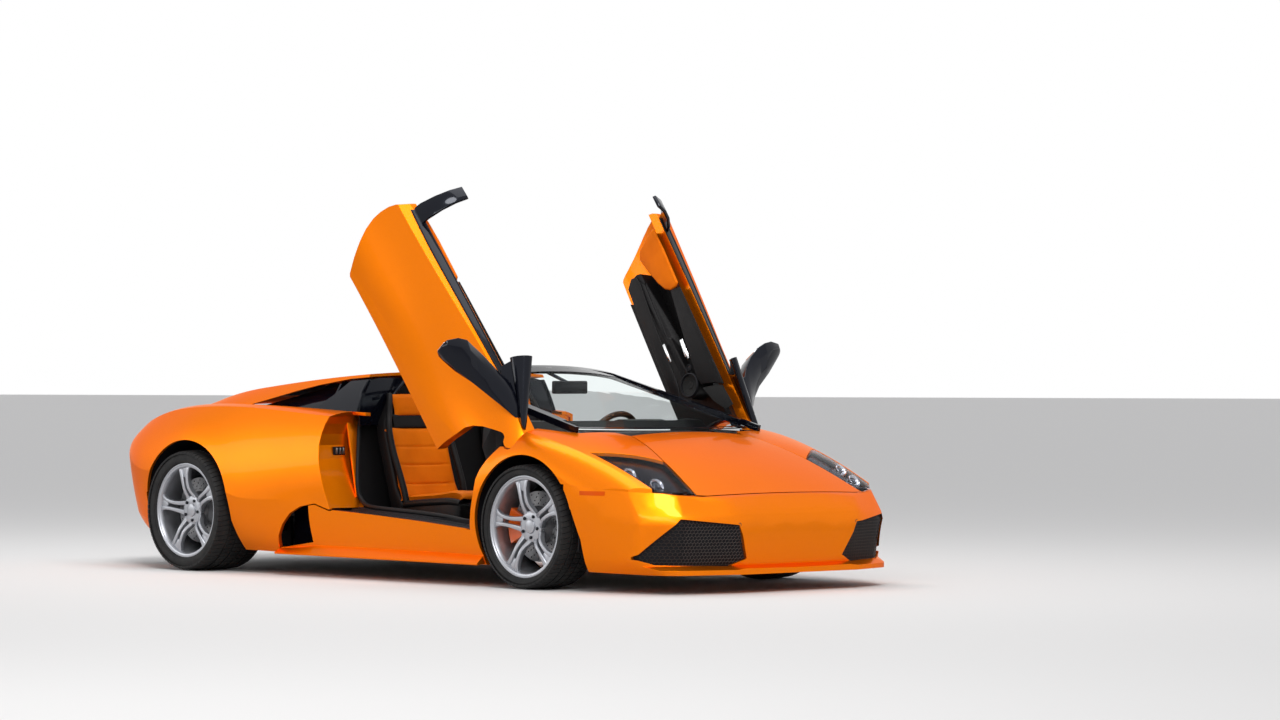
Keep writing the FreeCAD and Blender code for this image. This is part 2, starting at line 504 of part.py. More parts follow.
ring_rows = [V(172 + 15 * math.cos(math.radians(60 * i)), 0, 15 * math.sin(math.radians(60 * i))) for i in range(6)]
wheel_ring = polygon(ring_rows).revolve(V(0, 0, 0), V(0, 0, 1), 360)
boss = Part.makeCylinder(58, 40, V(0, 0, -30))
spoke = box(-172, 172, -17, 17, -12, 6)
spoke_low = box(-20, 20, -172, 0, -12, 6)
steering = wheel_ring.fuse([boss, spoke, spoke_low]).removeSplitter()
steering.rotate(V(0, 0, 0), V(0, 1, 0), 0)
steering.rotate(V(0, 0, 0), V(0, 0, 1), -90)
steering.rotate(V(0, 0, 0), V(0, 1, 0), -66)
steering.translate(V(560, 350, 712))
column = rod(V(585, 350, 702), V(720, 350, 640), 30.0)
steering = steering.fuse(column).cut(dash)
steering = max(steering.Solids, key=lambda s: s.Volume)


def seat(y):
    back = side_prism([(-60, 330), (-150, 330), (-340, 940), (-330, 972), (-270, 968), (-245, 930), (-200, 760),
                       (-110, 470), (-40, 400)], -185, 185)
    base = side_prism([(-150, 138.3), (-150, 330), (-110, 390), (-40, 400), (200, 420), (380, 440), (400, 400),
                       (370, 138.3)], -190, 190)
    wing_l = side_prism([(-130, 350), (-280, 840), (-225, 850), (-130, 640), (-40, 470), (-50, 350)], 150, 215)
    wing_b = side_prism([(-80, 260), (-80, 440), (200, 470), (390, 470), (395, 260)], 175, 225)
    s = back.fuse([base, wing_l, mirrored(wing_l), wing_b, mirrored(wing_b)]).removeSplitter()
    s.translate(V(0, y, 0))
    return s


engine = box(-1150, -480, -290, 290, 240, 780).fuse(box(-1750, -1150, -170, 170, 240, 560))
walls = [box(1580, 1592, -479, 479, 190, 706), box(1592, 2080, -440, -428, 238, 470), box(1592, 2080, 428, 440, 238, 470),
         box(2068, 2080, -428, 428, 238, 470), box(1440, 1592, -479, 479, 694, 706), box(1592, 2068, -440, 440, 238, 262)]
carrier = box(2080, 2094, -1000, 1000, 190, 700).common(nest)
hole = front_prism([(315, 150), (430, 116), (820, 122), (915, 178), (735, 396), (395, 364)], 1750, 2400)
carrier = carrier.cut([hole, mirrored(hole), plan_prism([(2000, -620), (2000, 620), (2200, 620), (2200, -620)], 478, 900)]
                      + [plan_prism([(x, side * y) for x, y in lamp_plan], 200, 1000).common(above) for side in (1, -1)])
brackets = []
for side in (1, -1):
    y0, y1 = sorted((side * 314, side * 326))
    brackets += [box(hx - 12, hx + 12, y0, y1, 706, hz + 12), rod(V(hx, side * 288, hz), V(hx, side * 320, hz), pin_r)]
luggage = walls[0].fuse(walls[1:] + [carrier] + brackets + [box(1560.3, 1580, -479, 479, 190, 250),
                                                            box(1592, 2080, -470, 470, 226, 238)])
luggage = luggage.fuse([box(1560.3, 1580, -479, 479, 118, 190)])
luggage = max(luggage.Solids, key=lambda s: s.Volume)

# wheel-arch liners
def liner(axle, r, y0, low):
    y1 = 1100.0
    tube = Part.makeCylinder(r + liner_t, y1 - y0, V(axle["x"], y0, axle["z"]), V(0, 1, 0))
    tube = tube.cut(Part.makeCylinder(r, y1 - y0 - liner_t, V(axle["x"], y0 + liner_t, axle["z"]), V(0, 1, 0)))
    tube = tube.cut(box(-3000, 3000, -1300, 1300, -500, low)).common(nest_side)
    return max(tube.Solids, key=lambda s: s.Volume)


front_liner = liner(front, liner_r_front, 500, 200).cut(box(1150, 1410, 480, 520, 150, 520))
rear_liner = liner(rear, liner_r_rear, 600, 220).cut(box(-1520, -1270, 580, 640, 150, 470))
liners = solids([front_liner, mirrored(front_liner), rear_liner, mirrored(rear_liner)])


# wheels
def revolve(points, axle_y=0.0):
    face = polygon([V(0, y, r) for y, r in points])
    return face.revolve(V(0, 0, 0), V(0, 1, 0), 360)


def tyre(axle):
    w, r = axle["tyre_w"] / 2, axle["tyre_r"]
    half = [(w - 8, rim_r + seat_gap), (w, rim_r + 28), (w - 22, r)]
    return revolve([(-y, q) for y, q in half] + list(reversed(half)))


# one spoke's side profile, from the hub outwards: radius, outer and inner face behind the wheel's face
spoke_rows = [(50, 40, 60), (100, 22, 56), (150, 8, 40), (206, 8, 36), (242, 14, 40)]
# plan of one of its two bars: radius and offset from the spoke's middle
bar_plan = [(50, 30), (100, 30), (150, 34), (206, 46), (242, 66), (242, 6), (206, 6), (150, 10), (100, 10), (50, 6)]


def rim(axle):
    w = axle["tyre_w"] / 2 - 14
    face = w - 8
    back = face - 62
    barrel = revolve([(-w, rim_r), (w, rim_r), (w, rim_r - 8), (w - 30, rim_r - 30), (-w, rim_r - 30)])
    hub = revolve([(back, axle_r + steer_gap), (face - 26, axle_r + steer_gap), (face - 26, 0.0), (face - 16, 0.0),
                   (face - 20, 62), (back, 74)])
    spokes = []
    for side in (1, -1):
        plan = [(r, side * q) for r, q in bar_plan]
        slab = polygon([V(y, 0, r) for r, y in plan]).extrude(V(0, 200, 0))
        side_cut = polygon([V(-200, face - f, r) for r, f, b in spoke_rows] +
                           [V(-200, face - b, r) for r, f, b in reversed(spoke_rows)]).extrude(V(400, 0, 0))
        spokes.append(slab.common(side_cut))
    bars = []
    for i in range(5):
        for s in spokes:
            t = s.copy()
            t.rotate(V(0, 0, 0), V(0, 1, 0), 72 * i)
            bars.append(t)
    whole = barrel.fuse([hub] + bars)
    return max(whole.Solids, key=lambda q: q.Volume)


def disc(axle, hub_in):
    return revolve([(hub_in - 48, axle_r + steer_gap), (hub_in - 48, 92), (hub_in - 62, 92), (hub_in - 62, disc_r),
                    (hub_in - 62 + disc_t, disc_r), (hub_in - 62 + disc_t, 100), (hub_in - seat_gap, 74),
                    (hub_in - seat_gap, axle_r + steer_gap)])


def placed(shape, axle):
    s = shape.copy()
    s.translate(V(axle["x"], axle["y"], axle["z"]))
    return s


def hub_in(axle):
    return axle["tyre_w"] / 2 - 14 - 8 - 62


def stub(axle, inner_y):
    tip = axle["y"] + hub_in(axle) + 34
    return rod(V(axle["x"], inner_y, axle["z"]), V(axle["x"], tip, axle["z"]), axle_r)


def caliper(axle, side):
    base = axle["y"] + hub_in(axle) - 62
    ring = Part.makeCylinder(disc_r + 22, disc_t + 44, V(axle["x"], base - 22, axle["z"]), V(0, 1, 0))
    ring = ring.cut(Part.makeCylinder(104, 400, V(axle["x"], base - 200, axle["z"]), V(0, 1, 0)))
    slot = Part.makeCylinder(disc_r + 4, disc_t + 8, V(axle["x"], base - 4, axle["z"]), V(0, 1, 0))
    wedge = side_prism([(axle["x"], axle["z"]), (axle["x"] + side * 300, axle["z"] + 150),
                        (axle["x"] + side * 300, axle["z"] - 150)], 400, 1100)
    return ring.cut(slot).common(wedge)


tyre_f, tyre_r = placed(tyre(front), front), placed(tyre(rear), rear)
wheel_f = [placed(rim(front), front), placed(disc(front, hub_in(front)), front)]
wheel_r = [placed(rim(rear), rear), placed(disc(rear, hub_in(rear)), rear)]

# knuckles, arms and half-shafts
ball_r = 12.0
low_z, top_z = 172.0, 462.0
knuckle = box(1242, 1298, 716, 762, 210, 424).fuse([stub(front, 716), rod(V(1270, kingpin_y, low_z - 10), V(1270, kingpin_y, 212), ball_r),
                                                    rod(V(1270, kingpin_y, 420), V(1270, kingpin_y, top_z + 10), ball_r)])
cal = caliper(front, -1)
knuckle = knuckle.fuse(box(1088, 1244, 730, 771.7, 290, 340))
knuckle = max(knuckle.Solids, key=lambda s: s.Volume)
arm_parts = [Part.makeCylinder(24, 26, V(1270, kingpin_y, low_z - 13)), Part.makeCylinder(24, 26, V(1270, kingpin_y, top_z - 13))]
for x in (1190, 1350):
    arm_parts += [rod(V(x, 500, 200), V(1270 + (x - 1270) * 0.1, 724, low_z), 14),
                  rod(V(x, 500, 486), V(1270 + (x - 1270) * 0.1, 724, top_z), 12)]
bores = [rod(V(1270, kingpin_y, 100), V(1270, kingpin_y, 600), ball_r + run), box(1100, 1400, 400, 500, 100, 600)]
arm_low = arm_parts[0].fuse([arm_parts[2], arm_parts[4]]).cut(bores)
arm_top = arm_parts[1].fuse([arm_parts[3], arm_parts[5]]).cut(bores)
arms_front = [arm_low, arm_top, mirrored(arm_low), mirrored(arm_top)]
cal_r = caliper(rear, 1)
hub_r = box(-1440, -1350, 640, 700, 220, 450).fuse([stub(rear, 640), rod(V(-1395, 170.3, 329), V(-1395, 650, 329), 24),
                                                    rod(V(-1300, 170.3, 262), V(-1380, 660, 240), 16),
                                                    rod(V(-1490, 170.3, 262), V(-1410, 660, 240), 16),
                                                    rod(V(-1320, 170.3, 470), V(-1380, 660, 436), 14),
                                                    rod(V(-1470, 170.3, 470), V(-1410, 660, 436), 14),
                                                    box(-1352, -1230, 660, 700, 300, 350),
                                                    box(-1285, -1230, 690, 846.7, 300, 350)])
hub_r = hub_r.cut(box(-1600, -1200, 0, 170.3, 0, 600))
hub_r = hub_r.cut(cal_r)
hub_r = max(hub_r.Solids, key=lambda s: s.Volume)
rear_axle = [hub_r, mirrored(hub_r), cal_r, mirrored(cal_r)]

pipe = Part.makeCylinder(pipe_r, 280, V(-2292, 0, pipe_z), V(1, 0, 0))
pipe = pipe.cut(Part.makeCylinder(pipe_r - 6, 200, V(-2292, 0, pipe_z), V(1, 0, 0)))
pipe = pipe.fuse(box(-2040, floor_end - seat_gap, -240, 240, 300, 440))

nodes = {
    "floor_tub": [floor_tub],
    "sills": sills,
    "front_bumper": [max(bumper.Solids, key=lambda s: s.Volume)],
    "bumper_grilles": grilles,
    "front_wings": wings,
    "arch_liners": liners,
    "headlamps": lamps,
    "cowl": [cowl],
    "windscreen": [glass],
    "windscreen_frame": [frame_ring],
    "dashboard": [dashboard],
    "steering_wheel": [steering],
    "seats": [seat(-370), seat(370)],
    "rear_bulkhead": [bulkhead],
    "engine": [engine],
    "rear_quarters": both(quarter) + [deck],
    "flank_vents": both(vent) + both(scoop_back),
    "rear_bumper": bumper_rear_parts,
    "tail_panel": [tail_panel],
    "tail_lamps": both(tail_lamp),
    "diffuser": [diffuser],
    "exhaust": [pipe],
    "luggage_tub": [luggage],
    "front_arms": arms_front,
    "rear_axle": rear_axle,
    "bonnet": [bonnet],
    "engine_lid": [lid],
    "door_right": [opened(door_shell)],
    "door_right_trim": [opened(door_trim)],
    "door_right_mirror": [opened(mirror_parts), opened(fin)],
    "knuckle_left": [knuckle],
    "caliper_left": [cal],
    "tyre_front_left": [tyre_f],
    "wheel_front_left": wheel_f,
    "tyre_rear_left": [tyre_r],
    "wheel_rear_left": wheel_r,
}
for name in list(nodes):
    if "right" in name:
        nodes[name.replace("right", "left")] = [mirrored(s) for s in nodes[name]]
    elif "left" in name:
        nodes[name.replace("left", "right")] = [mirrored(s) for s in nodes[name]]

for name, shapes in nodes.items():
    parts = solids(shapes)
    whole = parts[0] if len(parts) == 1 else Part.makeCompound(parts)
    bb = whole.BoundBox
    print(name, len(parts), whole.isValid(), round(whole.Volume / 1e6, 2), "x %.0f %.0f y %.0f %.0f z %.0f %.0f" % (
        bb.XMin, bb.XMax, bb.YMin, bb.YMax, bb.ZMin, bb.ZMax))
    whole.exportStep("parts/%s.step" % name)
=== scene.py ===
import json
import math
import bmesh
import bpy
from mathutils import Matrix, Vector
from mathutils.bvhtree import BVHTree

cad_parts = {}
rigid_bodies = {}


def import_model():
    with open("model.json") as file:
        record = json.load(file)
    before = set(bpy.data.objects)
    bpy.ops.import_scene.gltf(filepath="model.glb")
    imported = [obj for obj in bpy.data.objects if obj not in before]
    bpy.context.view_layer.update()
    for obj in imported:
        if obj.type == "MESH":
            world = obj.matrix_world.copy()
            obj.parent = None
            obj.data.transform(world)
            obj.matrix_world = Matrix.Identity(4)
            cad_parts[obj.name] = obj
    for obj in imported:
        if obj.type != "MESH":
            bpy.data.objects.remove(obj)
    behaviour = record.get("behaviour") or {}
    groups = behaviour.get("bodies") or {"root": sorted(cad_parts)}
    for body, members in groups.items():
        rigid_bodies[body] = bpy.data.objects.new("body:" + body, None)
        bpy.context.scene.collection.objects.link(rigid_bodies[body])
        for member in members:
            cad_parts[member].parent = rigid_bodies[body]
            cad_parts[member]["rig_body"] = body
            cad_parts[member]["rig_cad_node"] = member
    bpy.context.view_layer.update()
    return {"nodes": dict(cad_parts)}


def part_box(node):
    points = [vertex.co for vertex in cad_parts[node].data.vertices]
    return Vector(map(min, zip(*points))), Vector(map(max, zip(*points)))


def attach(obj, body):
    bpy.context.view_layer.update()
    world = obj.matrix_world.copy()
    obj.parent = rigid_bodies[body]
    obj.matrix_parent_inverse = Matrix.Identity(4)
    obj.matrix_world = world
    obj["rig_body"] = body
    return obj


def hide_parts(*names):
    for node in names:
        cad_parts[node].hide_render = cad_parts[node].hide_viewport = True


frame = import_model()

nodes = frame["nodes"]


cameraView = {"place": (16.4978, -14.7512, 1.0780), "azimuth": 46.1505, "elevation": -0.2021, "roll": 0.1885,
              "focal": 4108.14, "frameWidth": 1280, "sensor": 36.0, "far": 200}


def placeCamera(v):
    az, el, roll = (math.radians(v[k]) for k in ("azimuth", "elevation", "roll"))
    back = Vector((math.sin(az) * math.cos(el), -math.cos(az) * math.cos(el), math.sin(el)))
    side = Vector((math.cos(az), math.sin(az), 0))
    up = back.cross(side)
    right = side * math.cos(roll) + up * math.sin(roll)
    top = up * math.cos(roll) - side * math.sin(roll)
    bpy.ops.object.camera_add(location=v["place"])
    cam = bpy.context.object
    cam.name = "photoCamera"
    cam.rotation_euler = matrixOf(right, top, back).to_euler()
    cam.data.sensor_width = v["sensor"]
    cam.data.lens = v["focal"] * v["sensor"] / v["frameWidth"]
    cam.data.clip_end = v["far"]
    bpy.context.scene.camera = cam


def matrixOf(right, top, back):
    m = Matrix.Identity(3)
    m.col[0], m.col[1], m.col[2] = right, top, back
    return m


def clearSelection():
    if bpy.context.object and bpy.context.object.mode != "OBJECT":
        bpy.ops.object.mode_set(mode="OBJECT")
    bpy.ops.object.select_all(action="DESELECT")


def activate(obj):
    clearSelection()
    obj.select_set(True)
    bpy.context.view_layer.objects.active = obj


def settle(obj, name=None):
    activate(obj)
    bpy.ops.object.transform_apply(location=True, rotation=True, scale=True)
    if name:
        obj.name = name
        obj.data.name = name
    return obj


def editMesh(obj, kind="FACE"):
    activate(obj)
    bpy.ops.object.mode_set(mode="EDIT")
    bpy.ops.mesh.select_mode(type=kind)
    bpy.ops.mesh.select_all(action="DESELECT")
    return bmesh.from_edit_mesh(obj.data)


def selectAll():
    bpy.ops.mesh.select_all(action="SELECT")


def pickFaces(obj, test):
    bm = bmesh.from_edit_mesh(obj.data)
    bm.faces.ensure_lookup_table()
    for f in bm.faces:
        f.select_set(bool(test(f)))
    bmesh.update_edit_mesh(obj.data)


# distances under which points are welded, on pieces made here and on copies of the CAD meshes
weld = {"own": 0.00002, "cad": 0.00005}


def leaveEdit(fixNormals=False):
    if fixNormals:
        selectAll()
        bpy.ops.mesh.remove_doubles(threshold=weld["own"])
        bpy.ops.mesh.normals_make_consistent(inside=False)
    bpy.ops.object.mode_set(mode="OBJECT")


def applied(obj, kind, **values):
    mod = obj.modifiers.new("shaping", kind)
    for key, value in values.items():
        setattr(mod, key, value)
    activate(obj)
    bpy.ops.object.modifier_apply(modifier=mod.name)
    return obj


def bevelEdges(obj, width, segments=2, angle=30):
    return applied(obj, "BEVEL", width=width, segments=segments, angle_limit=math.radians(angle),
                   limit_method="ANGLE")


def cutAway(obj, tool):
    applied(obj, "BOOLEAN", object=tool, operation="DIFFERENCE", solver="EXACT")
    bpy.data.objects.remove(tool)


def faceOutward(obj, way):
    selectAll()
    bpy.ops.mesh.normals_make_consistent(inside=False)
    leaveEdit()
    if sum((f.normal for f in obj.data.polygons), Vector()).dot(way) < 0:
        editMesh(obj)
        selectAll()
        bpy.ops.mesh.flip_normals()
        leaveEdit()


def finishPiece(obj, look, smooth=35, replaced=(), body="chassis"):
    settle(obj)
    if smooth:
        activate(obj)
        bpy.ops.object.shade_smooth_by_angle(angle=math.radians(smooth))
    obj.data.materials.clear()
    obj.data.materials.append(look)
    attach(obj, body)
    if replaced:
        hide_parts(*replaced)
    return obj


def finishPair(piece, word, look, smooth, replaced=((), ()), bodies=("chassis", "chassis")):
    other = mirroredCopy(piece, word + "Left")
    piece.name = word + "Right"
    for p, body, swap in zip((piece, other), bodies, replaced):
        finishPiece(p, look, smooth, swap, body)


def addBlock(name, low, high, rounding=0.0, segments=2):
    clearSelection()
    mid = [(a + b) / 2 for a, b in zip(low, high)]
    bpy.ops.mesh.primitive_cube_add(size=1, location=mid, scale=[b - a for a, b in zip(low, high)])
    obj = settle(bpy.context.object, name)
    if rounding:
        bevelEdges(obj, rounding, segments)
    return obj


def extrude(step):
    bpy.ops.mesh.extrude_region_move(TRANSFORM_OT_translate={"value": step})


def addLine(name, points):
    clearSelection()
    bpy.ops.mesh.primitive_plane_add(size=0.01, location=(0, 0, 0))
    obj = settle(bpy.context.object, name)
    bm = editMesh(obj, "VERT")
    bm.verts.ensure_lookup_table()
    for v in bm.verts[1:]:
        v.select_set(True)
    bpy.ops.mesh.delete(type="VERT")
    selectAll()
    bm = bmesh.from_edit_mesh(obj.data)
    bm.verts.ensure_lookup_table()
    here = bm.verts[0].co.copy()
    for i, p in enumerate(points):
        step = Vector(p) - here
        if i:
            extrude(step)
        else:
            bpy.ops.transform.translate(value=step)
        here = Vector(p)
    selectAll()
    return obj


def addPlate(name, outline, push, rounding=0.0, segments=2):
    obj = addLine(name, outline)
    bpy.ops.mesh.edge_face_add()
    extrude(Vector(push))
    leaveEdit(True)
    if rounding:
        bevelEdges(obj, rounding, segments)
    return obj


def addSpun(name, profile, steps=72, closed=True, centre=(0, 0, 0)):
    rows = list(profile) + ([profile[0]] if closed else [])
    obj = addLine(name, [(centre[0], centre[1] + y, centre[2] + r) for y, r in rows])
    bpy.ops.mesh.spin(steps=steps, angle=2 * math.pi, center=centre, axis=(0, 1, 0), use_auto_merge=True)
    leaveEdit(True)
    return obj


def addTube(name, points, radius, sides=4):
    clearSelection()
    bpy.ops.curve.primitive_nurbs_path_add(location=(0, 0, 0))
    obj = bpy.context.object
    data = obj.data
    data.splines.clear()
    line = data.splines.new("NURBS")
    line.points.add(len(points) - 1)
    for q, p in zip(line.points, points):
        q.co = (p[0], p[1], p[2], 1.0)
    line.order_u = 3
    line.use_endpoint_u = True
    data.dimensions = "3D"
    data.bevel_depth = radius
    data.bevel_resolution = sides
    data.resolution_u = 6
    data.use_fill_caps = True
    bpy.ops.object.convert(target="MESH")
    return settle(bpy.context.object, name)


def joined(name, parts):
    clearSelection()
    for p in parts:
        p.select_set(True)
    bpy.context.view_layer.objects.active = parts[0]
    bpy.ops.object.join()
    obj = bpy.context.object
    obj.name = name
    obj.data.name = name
    return obj


def copied(obj, name):
    twin = obj.copy()
    twin.data = obj.data.copy()
    twin.name = name
    twin.data.name = name
    twin.parent = None
    bpy.context.scene.collection.objects.link(twin)
    return twin


def bareCopy(node, name):
    twin = copied(nodes[node], name)
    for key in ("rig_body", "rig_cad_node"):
        if key in twin:
            del twin[key]
    editMesh(twin)
    selectAll()
    bpy.ops.mesh.remove_doubles(threshold=weld["cad"])
    leaveEdit()
    return twin


def mirroredCopy(obj, name):
    twin = copied(obj, name)
    activate(twin)
    bpy.ops.object.mode_set(mode="EDIT")
    selectAll()
    bpy.ops.transform.mirror(constraint_axis=(False, True, False), center_override=(0, 0, 0))
    bpy.ops.mesh.normals_make_consistent(inside=False)
    leaveEdit()
    return twin


def turned(obj, degrees, axis, centre):
    activate(obj)
    bpy.ops.object.mode_set(mode="EDIT")
    selectAll()
    bpy.ops.transform.rotate(value=math.radians(-degrees), orient_axis=axis, center_override=centre)
    leaveEdit()
    return obj


def addNode(mat, kind, values):
    node = mat.node_tree.nodes.new("ShaderNode" + kind)
    for key, value in values.items():
        node.inputs[key].default_value = value
    return node


def link(mat, source, target):
    mat.node_tree.links.new(source, target)


def shaderSocket(mat, name):
    return mat.node_tree.nodes["Principled BSDF"].inputs[name]


def coords(mat):
    node = mat.node_tree.nodes.get("placeOnPiece") or addNode(mat, "TexCoord", {})
    node.name = "placeOnPiece"
    return node.outputs["Object"]


def addNoise(mat, scale, detail=4.0, stretch=None):
    noise = addNode(mat, "TexNoise", {"Scale": scale, "Detail": detail})
    source = coords(mat)
    if stretch:
        mapping = addNode(mat, "Mapping", {"Scale": stretch})
        link(mat, source, mapping.inputs["Vector"])
        source = mapping.outputs["Vector"]
    link(mat, source, noise.inputs["Vector"])
    return noise.outputs["Fac"]


def addCells(mat, scale):
    cells = addNode(mat, "TexVoronoi", {"Scale": scale})
    link(mat, coords(mat), cells.inputs["Vector"])
    return cells.outputs["Distance"]


def addRamp(mat, source, stops):
    ramp = addNode(mat, "ValToRGB", {})
    for element, (place, color) in zip(ramp.color_ramp.elements, stops):
        element.position, element.color = place, (*color, 1)
    link(mat, source, ramp.inputs["Fac"])
    link(mat, ramp.outputs["Color"], shaderSocket(mat, "Base Color"))


def addSpread(mat, low, high, *noise):
    spread = addNode(mat, "MapRange", {"To Min": low, "To Max": high})
    link(mat, addNoise(mat, *noise), spread.inputs["Value"])
    link(mat, spread.outputs["Result"], shaderSocket(mat, "Roughness"))


def addBump(mat, source, strength, distance, edgeRadius=0.0):
    bump = addNode(mat, "Bump", {"Strength": strength, "Distance": distance})
    link(mat, source, bump.inputs["Height"])
    if edgeRadius:
        edge = addNode(mat, "Bevel", {"Radius": edgeRadius})
        edge.samples = 4
        link(mat, edge.outputs["Normal"], bump.inputs["Normal"])
    link(mat, bump.outputs["Normal"], shaderSocket(mat, "Normal"))


# spread: lowest and highest roughness, then scale and detail of the noise between them
# shade: scale and detail of the noise under the colours, then the two stops
# bump: scale and detail of the noise (no detail: cells), strength, distance and the radius of softened edges
def newLook(name, color, rough, spread=None, shade=None, bump=None, metal=0.0, coat=0.0, coatRough=0.03,
            ior=1.45, clear=0.0, shine=0.5, tint=(1, 1, 1)):
    mat = bpy.data.materials.new(name)
    mat.use_nodes = True
    for key, value in (("Base Color", (*color, 1)), ("Roughness", rough), ("Metallic", metal), ("IOR", ior),
                       ("Coat Weight", coat), ("Coat Roughness", coatRough), ("Transmission Weight", clear),
                       ("Specular IOR Level", shine), ("Specular Tint", (*tint, 1))):
        shaderSocket(mat, key).default_value = value
    if shade:
        addRamp(mat, addNoise(mat, *shade[0]), shade[1:])
    if spread:
        addSpread(mat, *spread)
    if bump:
        scale, detail, *rest = bump
        addBump(mat, addNoise(mat, scale, detail) if detail else addCells(mat, scale), *rest)
    return mat


flakes = [(0.0, (0.98, 0.245, 0.002)), (1.0, (0.78, 0.155, 0.001))]
paint = newLook("pearlOrange", flakes[0][1], 0.34, (0.30, 0.39, 6), None, (60, 2, 0.015, 0.0004, 0.0025),
                metal=0.86, coat=0.14, coatRough=0.02, shine=0.15, tint=(1.0, 0.42, 0.02))
addRamp(paint, addCells(paint, 900), flakes)
gloss = newLook("glossBlack", (0.003, 0.0035, 0.007), 0.14, (0.08, 0.17, 9), None,
                (300, 2, 0.02, 0.0003, 0.002), coat=0.22, shine=0.16, tint=(0.75, 0.82, 1.0))
satin = newLook("satinPlastic", (0.009, 0.009, 0.011), 0.5, (0.42, 0.6, 30), None,
                (1400, 3, 0.15, 0.0004), shine=0.16)
seal = newLook("rubberSeal", (0.008, 0.008, 0.009), 0.55, (0.5, 0.7, 60), None,
               (900, 3, 0.2, 0.0003), shine=0.25)
rubber = newLook("tyreRubber", (0.012, 0.012, 0.013), 0.62, (0.5, 0.75, 50),
                 ((14,), (0.3, (0.010, 0.010, 0.011)), (0.75, (0.024, 0.023, 0.022))),
                 (500, 5, 0.2, 0.0005), shine=0.25)
alloy = newLook("silverLacquer", (0.40, 0.41, 0.44), 0.38, (0.33, 0.43, 40),
                ((700, 2), (0.3, (0.38, 0.39, 0.42)), (0.7, (0.44, 0.45, 0.48))), metal=0.85, coat=0.12,
                coatRough=0.15, shine=0.3)
chrome = newLook("brightChrome", (0.86, 0.87, 0.88), 0.08, (0.05, 0.13, 25), metal=1.0)
discMetal = newLook("turnedIron", (0.20, 0.20, 0.21), 0.4, (0.25, 0.45, 90, 3),
                    ((20,), (0.2, (0.15, 0.15, 0.16)), (0.8, (0.26, 0.26, 0.26))), metal=0.8)
casting = newLook("castMetal", (0.10, 0.10, 0.105), 0.55, (0.45, 0.7, 60), None, (600, 4, 0.3, 0.0006),
                  metal=0.6)
caliperPaint = newLook("caliperEnamel", (0.85, 0.13, 0.01), 0.3, (0.24, 0.38, 40), None,
                       (500, 3, 0.08, 0.0004), coat=0.6)
steel = newLook("brushedSteel", (0.45, 0.45, 0.46), 0.3, (0.2, 0.42, 60, 3, (1, 12, 12)), metal=1.0)
blackHide = newLook("blackLeather", (0.008, 0.0075, 0.008), 0.46, (0.4, 0.56, 18), None,
                    (520, None, 0.35, 0.0006), shine=0.18)
orangeHide = newLook("orangeLeather", (0.80, 0.17, 0.006), 0.45, (0.38, 0.52, 20),
                     ((7,), (0.25, (0.74, 0.145, 0.003)), (0.8, (0.92, 0.21, 0.006))), (480, None, 0.3, 0.0006),
                     shine=0.12, tint=(1.0, 0.6, 0.2))
# black steering rim leather with the orange of the seats it reflects painted into its base colour as a brown tint: a
# painted reflection
rimHidePaintedReflection = newLook("rimLeatherPaintedReflection", (0.045, 0.016, 0.007), 0.4, None, None, (500, None, 0.3, 0.0005),
                  shine=0.3)
screenGlass = newLook("clearGlass", (0.88, 0.94, 0.935), 0.01, (0.0, 0.02, 5), clear=1.0,
                      ior=1.02, shine=0.1)
lampGlass = newLook("lampCover", (0.70, 0.71, 0.76), 0.02, (0.01, 0.03, 8), clear=1.0, ior=1.03,
                    coat=0.06, shine=0.2)
lampInside = newLook("lampInside", (0.006, 0.0055, 0.008), 0.24, (0.16, 0.3, 20), coat=0.05,
                     shine=0.15)
lensGlass = newLook("projectorLens", (0.05, 0.055, 0.07), 0.06, (0.03, 0.08, 30), metal=0.2, coat=0.5)
redGlass = newLook("tailLens", (0.35, 0.004, 0.003), 0.12, None, None, (120, None, 0.3, 0.001),
                   coat=0.25, shine=0.2)
amber = newLook("amberLens", (0.72, 0.085, 0.001), 0.25, None, None, (240, None, 0.3, 0.0006),
                coat=0.05, shine=0.1)
carpet = newLook("blackCarpet", (0.012, 0.012, 0.012), 0.95, None, None, (1500, 6, 0.8, 0.001))
netMetal = newLook("netLacquer", (0.035, 0.026, 0.022), 0.4, (0.34, 0.5, 40), shine=0.4)

nodesOfLook = [
    (paint, "sills front_bumper front_wings rear_quarters rear_bumper bonnet engine_lid door_right door_left"),
    (satin, "floor_tub bumper_grilles arch_liners cowl tail_panel diffuser luggage_tub"),
    (gloss, "headlamps windscreen_frame flank_vents door_right_mirror door_left_mirror"),
    (blackHide, "dashboard steering_wheel rear_bulkhead door_right_trim door_left_trim"),
    (casting, "engine front_arms rear_axle knuckle_left knuckle_right"),
    (rubber, "tyre_front_left tyre_front_right tyre_rear_left tyre_rear_right"),
    (alloy, "wheel_front_left wheel_front_right wheel_rear_left wheel_rear_right"),
    (caliperPaint, "caliper_left caliper_right"), (screenGlass, "windscreen"), (orangeHide, "seats"),
    (redGlass, "tail_lamps"), (steel, "exhaust"),
]
for look, nodeNames in nodesOfLook:
    for nodeName in nodeNames.split():
        nodes[nodeName].data.materials.clear()
        nodes[nodeName].data.materials.append(look)
print("materials set")

placeCamera(cameraView)

studio = {"floorSize": 400.0, "floorColor": (0.80, 0.79, 0.78, 1), "floorRough": 0.9,
          "skyColor": (0.93, 0.95, 1.0, 1), "skyStrength": 0.30,
          "sunPower": 1.25, "sunAngle": 18.0, "sunFrom": (7.0, -4.5, 9.0),
          # name, place, target, width, height and power of each lit panel
          "panels": [("keyPanel", (7.5, -8.5, 5.0), (0.6, 0.0, 0.5), 6.0, 2.5, 260),
                     ("topPanel", (0.0, 0.0, 6.0), (0.0, 0.0, 0.0), 7.0, 3.0, 190),
                     ("fillPanel", (-7.0, -7.0, 3.0), (0.0, 0.0, 0.5), 5.0, 2.0, 80)]}


